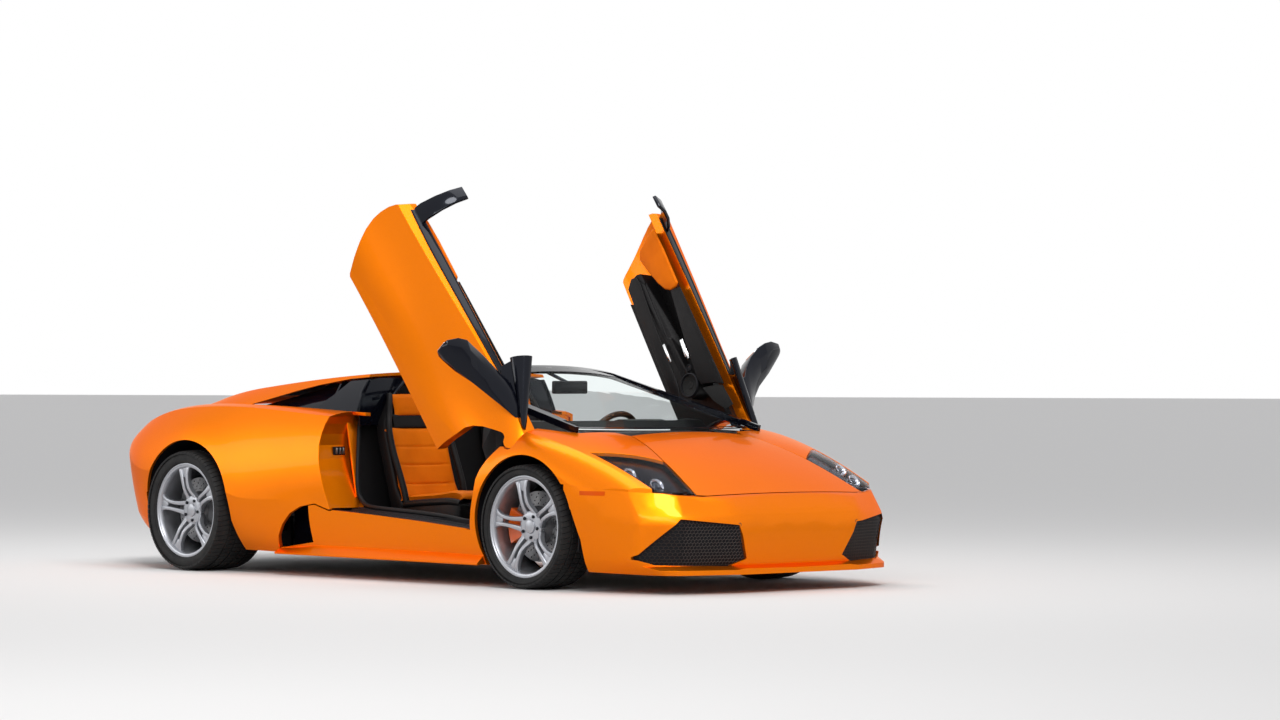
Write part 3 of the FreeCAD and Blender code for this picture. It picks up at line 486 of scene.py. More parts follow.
def setStudio(s):
    clearSelection()
    bpy.ops.mesh.primitive_plane_add(size=s["floorSize"], location=(0, 0, 0))
    floor = settle(bpy.context.object, "studioFloor")
    mat = bpy.data.materials.new("paleFloor")
    mat.use_nodes = True
    mat.node_tree.nodes["Principled BSDF"].inputs["Base Color"].default_value = s["floorColor"]
    mat.node_tree.nodes["Principled BSDF"].inputs["Roughness"].default_value = s["floorRough"]
    floor.data.materials.append(mat)
    world = bpy.data.worlds.new("softStudio")
    bpy.context.scene.world = world
    world.use_nodes = True
    tree = world.node_tree
    sky = tree.nodes["Background"]
    sky.inputs["Color"].default_value = s["skyColor"]
    sky.inputs["Strength"].default_value = s["skyStrength"]
    white = tree.nodes.new("ShaderNodeBackground")
    white.inputs["Color"].default_value = (1, 1, 1, 1)
    white.inputs["Strength"].default_value = 1.0
    path = tree.nodes.new("ShaderNodeLightPath")
    seen = path.outputs["Is Camera Ray"]
    for kind in ("Is Transmission Ray", "Is Glossy Ray"):
        either = tree.nodes.new("ShaderNodeMath")
        either.operation = "MAXIMUM"
        tree.links.new(seen, either.inputs[0])
        tree.links.new(path.outputs[kind], either.inputs[1])
        seen = either.outputs["Value"]
    mix = tree.nodes.new("ShaderNodeMixShader")
    tree.links.new(seen, mix.inputs["Fac"])
    tree.links.new(sky.outputs["Background"], mix.inputs[1])
    tree.links.new(white.outputs["Background"], mix.inputs[2])
    tree.links.new(mix.outputs["Shader"], tree.nodes["World Output"].inputs["Surface"])
    clearSelection()
    bpy.ops.object.light_add(type="SUN", location=s["sunFrom"])
    sun = bpy.context.object
    sun.name = "softSun"
    sun.data.energy, sun.data.angle = s["sunPower"], math.radians(s["sunAngle"])
    sun.rotation_euler = Vector(s["sunFrom"]).to_track_quat("Z", "Y").to_euler()
    for panel in s["panels"]:
        addLamp(*panel)
    bpy.context.scene.view_settings.view_transform = "Standard"


def addLamp(name, place, target, width, height, energy):
    clearSelection()
    bpy.ops.object.light_add(type="AREA", location=place)
    lamp = bpy.context.object
    lamp.name = name
    lamp.data.shape = "RECTANGLE"
    lamp.data.size, lamp.data.size_y = width, height
    lamp.data.energy = energy
    lamp.rotation_euler = (Vector(target) - Vector(place)).to_track_quat("-Z", "Y").to_euler()


setStudio(studio)
print("camera and light set")


axles = {
    "front": {"x": 1.270, "y": 0.8175, "z": 0.314, "tyreR": 0.314, "tyreW": 0.245, "pitch": 68},
    "rear": {"x": -1.395, "y": 0.8475, "z": 0.329, "tyreR": 0.329, "tyreW": 0.335, "pitch": 72},
}
rimLook = {
    "flange": 0.257, "bolts": 5, "boltCircle": 0.056, "boltR": 0.0095, "boltLong": 0.016, "firstPair": 81.0,
    # barrel: side, then the distances from that edge and from the flange; hub: distance from the face, radius
    "barrel": [(-1, 0, -0.006), (-1, 0, 0), (-1, 0.008, 0), (-1, 0.009, -0.014), (1, -0.009, -0.014), (1, -0.008, 0),
               (1, -0.001, 0), (1, 0, -0.002), (1, -0.001, -0.008), (1, -0.004, -0.010), (1, -0.006, -0.018),
               (1, -0.016, -0.024), (1, -0.034, -0.027), (-1, 0.026, -0.029), (-1, 0.006, -0.022)],
    "hub": [(-0.082, 0.0), (-0.082, 0.072), (-0.060, 0.080), (-0.044, 0.078), (-0.038, 0.066), (-0.040, 0.036),
            (-0.034, 0.034), (-0.032, 0.030), (-0.030, 0.0)],
    "web": [(0.030, 0.247), (0.018, 0.193), (0.006, 0.181)], "webBack": 0.034, "webThick": 0.020,
    # spoke bar: radius, distance from the pair's middle, depth of its face from the rim edge, width, thickness
    "bar": [(0.052, 0.030, -0.044, 0.026, 0.030), (0.078, 0.025, -0.036, 0.025, 0.034),
            (0.100, 0.0205, -0.020, 0.022, 0.036), (0.125, 0.0185, -0.010, 0.020, 0.034),
            (0.155, 0.0185, -0.006, 0.0195, 0.032), (0.190, 0.0215, -0.005, 0.021, 0.030),
            (0.216, 0.0275, -0.008, 0.026, 0.028), (0.240, 0.0375, -0.012, 0.036, 0.024)]}


def addBar(name, side, face):
    clearSelection()
    here = size = bar = None
    for r, off, deep, wide, thick in rimLook["bar"]:
        there = Vector((side * off, face + deep - thick / 2, r))
        if bar:
            extrude(there - here)
            bpy.ops.transform.resize(value=(wide / size[0], thick / size[1], 1), center_override=there)
        else:
            bpy.ops.mesh.primitive_plane_add(size=1, location=there, scale=(1, 1, 1))
            bar = bpy.context.object
            bpy.ops.object.mode_set(mode="EDIT")
            selectAll()
            bpy.ops.transform.resize(value=(wide, thick, 1), center_override=there)
        here, size = there, (wide, thick)
    leaveEdit(True)
    settle(bar, name)
    return bevelEdges(bar, 0.006, 3, 50)


def addSpokes(name, face):
    bars = [addBar(name + "BarA", 1, face), addBar(name + "BarB", -1, face)]
    half = [(-x, z) for x, z in rimLook["web"]] + [(x, z) for x, z in reversed(rimLook["web"])]
    web = addPlate(name + "Web", [(x, face - rimLook["webBack"], z) for x, z in half],
                   (0, rimLook["webThick"], 0), 0.003)
    pair = joined(name + "Pair", bars + [web])
    fan = [pair] + [copied(pair, "%sPair%d" % (name, i)) for i in range(1, 5)]
    for i, p in enumerate(fan):
        turned(p, 90 - rimLook["firstPair"] + 72 * i, "Y", (0, 0, 0))
    return fan


def addRim(key, axle):
    w, r = axle["tyreW"] / 2 - 0.014, rimLook["flange"]
    face = w - 0.004
    barrel = addSpun(key + "Barrel", [(side * w + dy, r + dr) for side, dy, dr in rimLook["barrel"]], 96)
    hub = addSpun(key + "Hub", [(face + dy, q) for dy, q in rimLook["hub"]], 60, False)
    rim = joined(key + "Rim", [barrel, hub] + addSpokes(key, face))
    bolts = []
    clearSelection()
    for i in range(rimLook["bolts"]):
        a = math.radians(rimLook["firstPair"] + 36 + 72 * i)
        place = (rimLook["boltCircle"] * math.cos(a), face - 0.040, rimLook["boltCircle"] * math.sin(a))
        bpy.ops.mesh.primitive_cylinder_add(vertices=6, radius=rimLook["boltR"], depth=rimLook["boltLong"],
                                            location=place, rotation=(math.pi / 2, 0, 0))
        bolts.append(bevelEdges(settle(bpy.context.object, "%sBolt%d" % (key, i)), 0.0015, 2))
    return rim, joined(key + "Bolts", bolts)


discLook = {
    "radius": 0.178, "behind": 0.084, "inner": 0.062, "outer": 0.030, "drill": 0.0042, "drillLong": 0.09,
    # radius and first angle of each ring of holes
    "rings": [(0.116, 0.0), (0.132, 6.0), (0.148, 12.0), (0.164, 18.0)], "holes": 20}


def addDisc(key, axle):
    d = discLook
    hubIn = axle["tyreW"] / 2 - d["behind"]
    y0, y1, r = hubIn - d["inner"], hubIn - d["outer"], d["radius"]
    plate = addSpun(key + "Disc", [(y0, 0.094), (y0, r - 0.001), (y0 + 0.001, r), (y0 + 0.011, r),
                                   (y0 + 0.012, r - 0.006), (y1 - 0.012, r - 0.006), (y1 - 0.011, r),
                                   (y1 - 0.001, r), (y1, r - 0.001), (y1, 0.104), (y1 - 0.004, 0.100),
                                   (y1 - 0.004, 0.094)], 96)
    clearSelection()
    drills = []
    for radius, shift in d["rings"]:
        for i in range(d["holes"]):
            a = math.radians(shift + 360.0 * i / d["holes"])
            place = (radius * math.cos(a), (y0 + y1) / 2, radius * math.sin(a))
            bpy.ops.mesh.primitive_cylinder_add(vertices=10, radius=d["drill"], depth=d["drillLong"], location=place,
                                                rotation=(math.pi / 2, 0, 0))
            drills.append(bpy.context.object)
    cutAway(plate, settle(joined(key + "Drill", drills)))
    hat = addSpun(key + "Hat", [(y1 - 0.004, 0.100), (y1 + 0.002, 0.096), (hubIn - 0.002, 0.078),
                                (hubIn - 0.001, 0.074), (hubIn - 0.001, 0.032), (hubIn - 0.006, 0.032),
                                (hubIn - 0.006, 0.072), (y0 + 0.004, 0.088), (y0 + 0.004, 0.100)], 60)
    return plate, hat


tyreLook = {
    # distances from the side of the tyre, then from the rim's flange or from the tread
    "bead": [(-0.022, -0.013), (-0.0215, 0.001), (-0.012, 0.001), (-0.006, 0.005), (-0.0055, 0.008),
             (-0.0035, 0.0085), (-0.001, 0.017), (0, 0.027)],
    "wall": [(-0.001, -0.031), (-0.004, -0.021), (-0.0065, -0.0205), (-0.012, -0.014), (-0.022, -0.0095),
             (-0.050, -0.0072)],
    "lanes": [-0.36, -0.185, 0.0, 0.185, 0.36], "laneWide": 0.148, "groove": 0.0035, "deep": 0.0125, "slant": 0.010,
    "crown": 0.0006, "shoulder": 0.0016}


def addTyre(key, axle):
    t = tyreLook
    w, r, wide = axle["tyreW"] / 2, axle["tyreR"], axle["tyreW"] * t["laneWide"]
    half = [(w + dy, rimLook["flange"] + dr) for dy, dr in t["bead"]] + [(w + dy, r + dr) for dy, dr in t["wall"]]
    body = addSpun(key + "Tyre", [(-y, q) for y, q in half] + [(y, q) for y, q in reversed(half)], 120)
    blocks = []
    length = 2 * math.pi * r / axle["pitch"] - t["groove"]
    for k, lane in enumerate(t["lanes"]):
        y, side, outermost = lane * axle["tyreW"], math.copysign(1, lane), abs(lane) > 0.3
        block = addBlock("%sBlock%d" % (key, k), (-length / 2, y - wide / 2, r - t["deep"]),
                         (length / 2, y + wide / 2, r - (t["shoulder"] if outermost else t["crown"])))
        if lane:
            editMesh(block)
            pickFaces(block, lambda f: f.normal.y * side > 0.9)
            bpy.ops.transform.translate(value=(-t["slant"], 0, 0))
            leaveEdit()
        if outermost:
            editMesh(block)
            pickFaces(block, lambda f: f.normal.y * side > 0.9)
            bpy.ops.transform.translate(value=(0, side * 0.008, -0.0042))
            extrude((-0.002, side * axle["tyreW"] * 0.055, -0.0075))
            leaveEdit(True)
        blocks.append(bevelEdges(block, 0.0009, 1))
    one = joined(key + "Tread", blocks)
    ring = [one] + [copied(one, "%sTread%d" % (key, i)) for i in range(1, axle["pitch"])]
    for i, piece in enumerate(ring[1:], 1):
        turned(piece, 360.0 * i / axle["pitch"], "Y", (0, 0, 0))
    return joined(key + "TyreWhole", [body, joined(key + "TreadRing", ring)])


def addWheels():
    for key, axle in axles.items():
        rim, bolts = addRim(key, axle)
        disc, hat = addDisc(key, axle)
        tyre = addTyre(key, axle)
        made = [("Rim", rim, alloy, "alloy", 40), ("Bolts", bolts, gloss, "alloy", 30),
                ("Disc", disc, discMetal, "alloy", 30), ("DiscHat", hat, casting, "castings", 30),
                ("Tyre", tyre, rubber, "tyre", 30)]
        for side in ("left", "right"):
            for word, source, look, slot, angle in made:
                piece = copied(source, "%sWheel%s%s" % (key, side.capitalize(), word))
                if side == "right":
                    turned(piece, 180, "Z", (0, 0, 0))
                sign = 1 if side == "left" else -1
                activate(piece)
                bpy.ops.transform.translate(value=(axle["x"], sign * axle["y"], axle["z"]))
                wheel = "wheel_%s_%s" % (key, side)
                swap = {"Rim": (wheel,), "Tyre": (wheel.replace("wheel", "tyre"),)}.get(word, ())
                finishPiece(piece, look, angle, swap, wheel)
        for row in made:
            bpy.data.objects.remove(row[1])
        print("wheels made:", key)


addWheels()


surfaceTrees = {}


def surfacePoint(names, start, way):
    best = None
    for n in names:
        if n not in surfaceTrees:
            mesh = nodes[n].data
            surfaceTrees[n] = BVHTree.FromPolygons([v.co for v in mesh.vertices],
                                                   [p.vertices for p in mesh.polygons])
        place, normal, index, gap = surfaceTrees[n].ray_cast(Vector(start), Vector(way))
        if place and (best is None or gap < best[2]):
            best = (place, normal, gap)
    return best


def addPatch(name, outline, axis, names, lift, cells=24, start=3.0):
    k, a, b = {"X": (0, 1, 2), "Y": (1, 0, 2), "Z": (2, 0, 1)}[axis[-1]]
    sign = -1 if axis[0] == "-" else 1
    us, vs = [p[0] for p in outline], [p[1] for p in outline]
    mid = [0, 0, 0]
    mid[a], mid[b] = (min(us) + max(us)) / 2, (min(vs) + max(vs)) / 2
    turn = {"X": (0, math.pi / 2, 0), "Y": (math.pi / 2, 0, 0), "Z": (0, 0, 0)}[axis[-1]]
    clearSelection()
    reach = max(max(us) - min(us), max(vs) - min(vs)) * 1.02
    bpy.ops.mesh.primitive_grid_add(x_subdivisions=cells, y_subdivisions=cells, size=reach, location=mid,
                                    rotation=turn)
    obj = settle(bpy.context.object, name)
    editMesh(obj)
    centre = Vector((sum(us) / len(us), sum(vs) / len(vs)))
    for p, q in zip(outline, outline[1:] + outline[:1]):
        out = Vector((q[1] - p[1], p[0] - q[0]))
        if out.dot(centre - Vector(p)) > 0:
            out = -out
        co, no = [0, 0, 0], [0, 0, 0]
        co[a], co[b], no[a], no[b] = p[0], p[1], out[0], out[1]
        selectAll()
        bpy.ops.mesh.bisect(plane_co=co, plane_no=no, clear_outer=True)
    bm = bmesh.from_edit_mesh(obj.data)
    way = Vector((0, 0, 0))
    way[k] = -sign
    missed = []
    for v in bm.verts:
        origin = v.co.copy()
        origin[k] = start * sign
        found = surfacePoint(names, origin, way)
        if found:
            v.co = found[0] + found[1] * lift
        else:
            missed.append(v)
    bmesh.ops.delete(bm, geom=missed, context="VERTS")
    bmesh.update_edit_mesh(obj.data)
    faceOutward(obj, -way)
    return obj


intakeMesh = {"cell": 0.0105, "wire": 0.0026, "lift": 0.006, "corner": (0.31, 0.12, 0),
              "outline": [(0.325, 0.160), (0.430, 0.126), (0.810, 0.132), (0.900, 0.178), (0.728, 0.386),
                          (0.404, 0.354)]}


def insideOutline(y, z, outline):
    inside = False
    for (y0, z0), (y1, z1) in zip(outline, outline[1:] + outline[:1]):
        if (z0 > z) != (z1 > z) and y < (y1 - y0) * (z - z0) / (z1 - z0) + y0:
            inside = not inside
    return inside


def addIntakeMesh():
    r = intakeMesh["cell"]
    tall = math.sqrt(3) * r
    clearSelection()
    cells = []
    for place in ((0, 0, 0), (tall / 2, 1.5 * r, 0)):
        bpy.ops.mesh.primitive_circle_add(vertices=6, radius=r, fill_type="NGON", location=place)
        cells.append(settle(bpy.context.object))
    net = joined("intakeNet", cells)
    for count, offset in ((34, (tall, 0, 0)), (20, (0, 3 * r, 0))):
        applied(net, "ARRAY", count=count, use_relative_offset=False, use_constant_offset=True,
                constant_offset_displace=offset)
    editMesh(net)
    selectAll()
    bpy.ops.mesh.remove_doubles(threshold=r * 0.05)
    bpy.ops.transform.translate(value=intakeMesh["corner"])
    pickFaces(net, lambda f: not insideOutline(*f.calc_center_median().xy, intakeMesh["outline"]))
    bpy.ops.mesh.delete(type="FACE")
    bm = bmesh.from_edit_mesh(net.data)
    lost = []
    for v in bm.verts:
        found = surfacePoint(["bumper_grilles"], (2.6, v.co.x, v.co.y), (-1, 0, 0))
        if found:
            v.co = found[0] + Vector((intakeMesh["lift"], 0, 0))
        else:
            lost.append(v)
    bmesh.ops.delete(bm, geom=lost, context="VERTS")
    bmesh.update_edit_mesh(net.data)
    selectAll()
    bpy.ops.mesh.normals_make_consistent(inside=False)
    leaveEdit()
    applied(net, "WIREFRAME", thickness=intakeMesh["wire"], use_replace=True, use_boundary=True)
    other = mirroredCopy(net, "intakeNetRight")
    finishPiece(net, netMetal, 0)
    finishPiece(other, netMetal, 0)
    print("intake mesh made")


addIntakeMesh()


lampParts = {"depth": 0.030, "cover": 0.002,
             "sunk": 0.020,
             # x, y and radius of each projector
             "projectors": [(1.862, 0.758, 0.035), (2.003, 0.708, 0.037)]}


def addHeadlamps():
    bowl = bareCopy("headlamps", "lampBowls")
    outside = {f.index for f in bowl.data.polygons if isLampTop(f.center, f.normal)}
    cover = copied(bowl, "lampCovers")
    editMesh(cover)
    pickFaces(cover, lambda f: f.index not in outside)
    bpy.ops.mesh.delete(type="FACE")
    leaveEdit()
    applied(cover, "SOLIDIFY", thickness=lampParts["cover"], offset=-1)
    editMesh(bowl)
    pickFaces(bowl, lambda f: f.index in outside)
    bpy.ops.transform.shrink_fatten(value=-lampParts["depth"])
    leaveEdit()
    finishPiece(bowl, lampInside, 30, ("headlamps",))
    finishPiece(cover, lampGlass, 30)
    for side, word in ((1, "L"), (-1, "R")):
        for i, (x, y, r) in enumerate(lampParts["projectors"]):
            found = surfacePoint(["headlamps"], (x, side * y, 1.5), (0, 0, -1))
            way = Vector((0.80, side * 0.12, 0.59)).normalized()
            addProjector("projector%s%d" % (word, i), found[0] - Vector((0, 0, lampParts["sunk"])), way, r)
    print("headlamps made")


def isLampTop(centre, normal):
    return normal.z > 0.25 and surfaceGap(centre) < 0.004


def surfaceGap(centre):
    found = surfacePoint(["headlamps"], (centre.x, centre.y, 1.5), (0, 0, -1))
    return (found[0] - centre).length if found else 9.0


def addProjector(name, place, way, r):
    cup = addSpun(name + "Ring", [(-0.030, r * 0.66), (-0.030, r * 0.92), (-0.004, r), (0.0, r), (0.002, r * 0.96),
                                  (-0.001, r * 0.84), (-0.007, r * 0.68), (-0.014, r * 0.62)], 40)
    lens = addSpun(name + "Lens", [(-0.024, 0.0), (-0.024, r * 0.66), (-0.014, r * 0.62), (-0.007, r * 0.46),
                                   (-0.004, r * 0.24), (-0.003, 0.0)], 32, False)
    turn = Vector((0, 1, 0)).rotation_difference(way)
    for piece, look in ((cup, chrome), (lens, lensGlass)):
        piece.rotation_mode = "QUATERNION"
        piece.rotation_quaternion = turn
        piece.location = place
        finishPiece(piece, look, 40)


addHeadlamps()


# door opening: tread plates, seals and the painted return of the jamb
treadLook = {"path": [(-0.222, 0.350), (0.100, 0.334), (0.500, 0.309), (0.836, 0.2812)],
             "section": [(-0.916, 0.001), (-0.914, 0.0075), (-0.911, 0.009), (-0.890, 0.009), (-0.887, 0.0075),
                         (-0.885, 0.004), (-0.872, 0.004), (-0.870, 0.006), (-0.866, 0.006), (-0.864, 0.004),
                         (-0.856, 0.004), (-0.854, 0.006), (-0.850, 0.006), (-0.848, 0.004), (-0.800, 0.004),
                         (-0.796, 0.012), (-0.778, 0.013), (-0.776, 0.001)]}
wallLook = {"outer": -0.769, "inner": -0.738, "low": 0.300, "under": 0.010}
sealLook = {"radius": 0.0125,
            "sill": [(0.642, -0.745, 0.317), (0.504, -0.745, 0.338), (0.267, -0.745, 0.353), (0.026, -0.745, 0.364),
                     (-0.110, -0.745, 0.371)],
            "rise": [(-0.205, -0.722, 0.382), (-0.256, -0.718, 0.423), (-0.266, -0.723, 0.471),
                     (-0.280, -0.714, 0.539), (-0.299, -0.695, 0.629), (-0.318, -0.675, 0.724),
                     (-0.335, -0.657, 0.809), (-0.348, -0.629, 0.873), (-0.359, -0.589, 0.926),
                     (-0.360, -0.539, 0.980), (-0.360, -0.491, 1.022), (-0.360, -0.440, 1.048)]}


def addSweep(name, section, path):
    (x0, z0), rest = path[0], path[1:]
    obj = addPlate(name, [(x0, y, z0 + h) for y, h in section], (rest[0][0] - x0, 0, rest[0][1] - z0))
    for (xa, za), (xb, zb) in zip(rest, rest[1:]):
        editMesh(obj)
        pickFaces(obj, lambda f: abs(f.calc_center_median().x - xa) < 0.0005 and f.normal.x > 0.5)
        extrude((xb - xa, 0, zb - za))
        leaveEdit(True)
    return obj


def addOpenings():
    tread = addSweep("sillTread", treadLook["section"], treadLook["path"])
    bevelEdges(tread, 0.0012, 1, 40)
    w = wallLook
    top = [(x, w["outer"], z - w["under"]) for x, y, z in sealLook["sill"]]
    edge = [(-0.215, w["outer"], w["low"]), (0.840, w["outer"], 0.270), (0.840, w["outer"], 0.296),
            (0.700, w["outer"], 0.306)] + top + [(-0.215, w["outer"], 0.372)]
    wall = addPlate("sillWall", edge, (0, w["inner"] - w["outer"], 0), 0.005, 3)
    tube = addTube("openingSeal", [(0.840, -0.745, 0.300)] + sealLook["sill"] + sealLook["rise"],
                   sealLook["radius"], sides=6)
    inner = [(x, y, z) for x, y, z in sealLook["rise"] if 0.42 < z < 0.90]
    outer = [(x, min(y - 0.012, -0.738), z) for x, y, z in reversed(inner)]
    back = addPlate("jambReturn", inner + outer, (-0.010, 0, -0.0015), 0.002, 2)
    finishPair(tread, "sillTread", satin, 30)
    finishPair(wall, "sillWall", satin, 30)
    finishPair(tube, "openingSeal", seal, 60)
    finishPair(back, "jambReturn", paint, 30)
    print("door openings made")


addOpenings()


# latch on the jamb and the black trim behind the seat
latchLook = {"y": -0.792, "z": 0.668, "wide": 0.078, "tall": 0.044, "deep": 0.010,
             "pawls": [-0.022, 0.002, 0.024], "pawlHalf": (0.005, 0.016), "pawlOut": 0.007}
archLook = {"x": -0.298, "deep": 0.012, "tube": 0.010,
            "outer": [(-0.690, 0.800), (-0.700, 0.900), (-0.676, 0.985), (-0.640, 1.040), (-0.560, 1.056),
                      (-0.381, 1.058)],
            "inner": [(-0.381, 1.039), (-0.437, 0.991), (-0.480, 0.937), (-0.505, 0.873), (-0.513, 0.804)]}


def addDoorways():
    k = latchLook
    x = surfacePoint(["rear_quarters"], (-0.1, k["y"], k["z"]), (-1, 0, 0))[0].x
    plate = addBlock("latchPlate", (x, k["y"] - k["wide"] / 2, k["z"] - k["tall"] / 2),
                     (x + k["deep"], k["y"] + k["wide"] / 2, k["z"] + k["tall"] / 2), 0.003, 2)
    wide, tall = k["pawlHalf"]
    pawls = [addBlock("latchPawl", (x + k["deep"] - 0.001, k["y"] + s - wide, k["z"] - tall),
                      (x + k["deep"] + k["pawlOut"], k["y"] + s + wide, k["z"] + tall), 0.002, 2)
             for s in k["pawls"]]
    a = archLook
    panel = addPlate("pillarTrim", [(a["x"], y, z) for y, z in a["outer"] + a["inner"]], (a["deep"], 0, 0), 0.003, 2)
    edge = addTube("pillarEdge", [(a["x"] + a["deep"], y, z) for y, z in a["inner"]], a["tube"], 6)
    finishPair(plate, "latchPlate", satin, 30)
    finishPair(joined("latchPawls", pawls), "latchPawls", steel, 30)
    finishPair(panel, "pillarTrim", gloss, 30)
    finishPair(edge, "pillarEdge", gloss, 60)
    print("latches and pillar trims made")


addDoorways()


# seats: orange centres with sewn channels, black bolsters and shells
seatLook = {"middle": -0.370,
            "back": [(-0.062, 0.405), (-0.110, 0.480), (-0.146, 0.590), (-0.177, 0.690), (-0.206, 0.795)],
            "head": [(-0.216, 0.852), (-0.229, 0.900), (-0.246, 0.946), (-0.268, 0.974)],
            "base": [(-0.060, 0.424), (0.060, 0.428), (0.200, 0.438), (0.330, 0.456), (0.388, 0.450),
                     (0.408, 0.424)],
            "slot": [(-0.203, 0.788), (-0.209, 0.812), (-0.216, 0.836), (-0.222, 0.862)],
            "backSeams": [0.489, 0.590, 0.686], "baseSeams": [0.05, 0.16, 0.27], "seamDeep": 0.006,
            "seamWide": 0.005,
            # x, half width and z of the bolsters, outline of the shell and the tray
            "backBolster": [(-0.034, 0.206, 0.384), (-0.050, 0.210, 0.460), (-0.092, 0.213, 0.560),
                            (-0.146, 0.214, 0.680), (-0.184, 0.208, 0.790), (-0.228, 0.170, 0.860),
                            (-0.250, 0.146, 0.930), (-0.274, 0.128, 0.966)],
            "baseBolster": [(-0.050, 0.204, 0.384), (0.060, 0.206, 0.396), (0.200, 0.206, 0.404),
                            (0.330, 0.204, 0.412), (0.385, 0.196, 0.400)],
            "shell": [(-0.085, 0.330), (-0.160, 0.330), (-0.350, 0.935), (-0.340, 0.968), (-0.280, 0.960),
                      (-0.258, 0.925), (-0.214, 0.755), (-0.128, 0.470), (-0.070, 0.385)], "shellWide": 0.410,
            "tray": [(-0.150, 0.150), (-0.140, 0.350), (-0.070, 0.378), (0.060, 0.392), (0.340, 0.410),
                     (0.394, 0.400), (0.382, 0.220), (0.340, 0.150)], "trayWide": 0.428}


def alongPath(path, t):
    spans = [(Vector(b) - Vector(a)).length for a, b in zip(path, path[1:])]
    left = t * sum(spans)
    for (a, b), s in zip(zip(path, path[1:]), spans):
        if left <= s or (a, b) == (path[-2], path[-1]):
            p = Vector(a).lerp(Vector(b), left / s)
            d = (Vector(b) - Vector(a)).normalized()
            return p, d
        left -= s


def addPad(name, path, half, crown, drop, thick, seams=(), axis=1, sideLift=0.0, rows=72, columns=36):
    clearSelection()
    bpy.ops.mesh.primitive_grid_add(x_subdivisions=rows, y_subdivisions=columns, size=2, location=(0, 0, 0))
    pad = settle(bpy.context.object, name)
    bm = editMesh(pad)
    middle = seatLook["middle"]
    for v in bm.verts:
        t, s = (v.co.x + 1) / 2, v.co.y
        p, d = alongPath(path, t)
        p0, d0 = alongPath(path, max(0.0, t - 0.04))
        p1, d1 = alongPath(path, min(1.0, t + 0.04))
        p, d = (p0 + p + p1) / 3, (d0 + d + d1).normalized()
        out = Vector((-d.y, d.x)) if axis == 0 else Vector((d.y, -d.x))
        u = 2 * t - 1
        edge = (1 - abs(u) ** 6) * (1 - abs(s) ** 6)
        rise = crown * (1 - s * s * 0.8) * (1 - u * u * 0.5) - drop * (1 - edge) ** 2 + sideLift * s * s * abs(s)
        for q in seams:
            gap = (p.y if axis else p.x) - q
            rise -= seatLook["seamDeep"] * math.exp(-(gap / seatLook["seamWide"]) ** 2) * (1 - s ** 8)
        wide = half * (1 - 0.03 * (1 - s * s)) * (1 - 0.025 * (1 - u * u))
        v.co = (p.x + out.x * rise, middle + s * wide, p.y + out.y * rise)
    bmesh.update_edit_mesh(pad.data)
    faceOutward(pad, Vector((1, 0, 0.3)) if axis else Vector((0, 0, 1)))
    return applied(pad, "SOLIDIFY", thickness=thick, offset=-1, use_even_offset=False)


def addSeats():
    k = seatLook
    m = k["middle"]
    back = addPad("seatBackPanel", k["back"], 0.198, 0.010, 0.016, 0.030, k["backSeams"], 1, 0.022)
    head = addPad("seatHeadrest", k["head"], 0.128, 0.010, 0.018, 0.040, (), 1, 0.006)
    base = addPad("seatBasePanel", k["base"], 0.196, 0.014, 0.020, 0.040, k["baseSeams"], 0, 0.020)
    rolls = []
    for side in (1, -1):
        for word, radius in (("backBolster", 0.017), ("baseBolster", 0.020)):
            rolls.append(addTube(word, [(x, m + side * y, z) for x, y, z in k[word]], radius, 8))
    bolsters = joined("seatBolsters", rolls)
    shell = addPlate("seatShell", [(x, m - k["shellWide"] / 2, z) for x, z in k["shell"]], (0, k["shellWide"], 0))
    editMesh(shell)
    for z in (0.700, 0.820, 0.900):
        selectAll()
        bpy.ops.mesh.bisect(plane_co=(0, 0, z), plane_no=(0, 0, 1))
    bm = bmesh.from_edit_mesh(shell.data)
    for v in bm.verts:
        if v.co.z > 0.81:
            v.co.y = m + (v.co.y - m) * (1 - min(1.0, (v.co.z - 0.80) / 0.15) * 0.38)
    bmesh.update_edit_mesh(shell.data)
    leaveEdit(True)
    bevelEdges(shell, 0.014, 3, 40)
    tray = addPlate("seatTray", [(x, m - k["trayWide"] / 2, z) for x, z in k["tray"]],
                    (0, k["trayWide"], 0), 0.016, 3)
    slot = addPad("seatSlot", k["slot"], 0.150, 0.002, 0.006, 0.020, (), 1, 0.0, 24, 24)
    for piece, look, fill in ((back, orangeHide, 0.55), (head, orangeHide, 0.6), (base, orangeHide, 0.55),
                              (bolsters, blackHide, 0.8), (shell, blackHide, 0), (tray, blackHide, 0),
                              (slot, blackHide, 0)):
        finishPair(piece, piece.name, look, 60, (("seats",), ("seats",)))
    print("seats made")


addSeats()


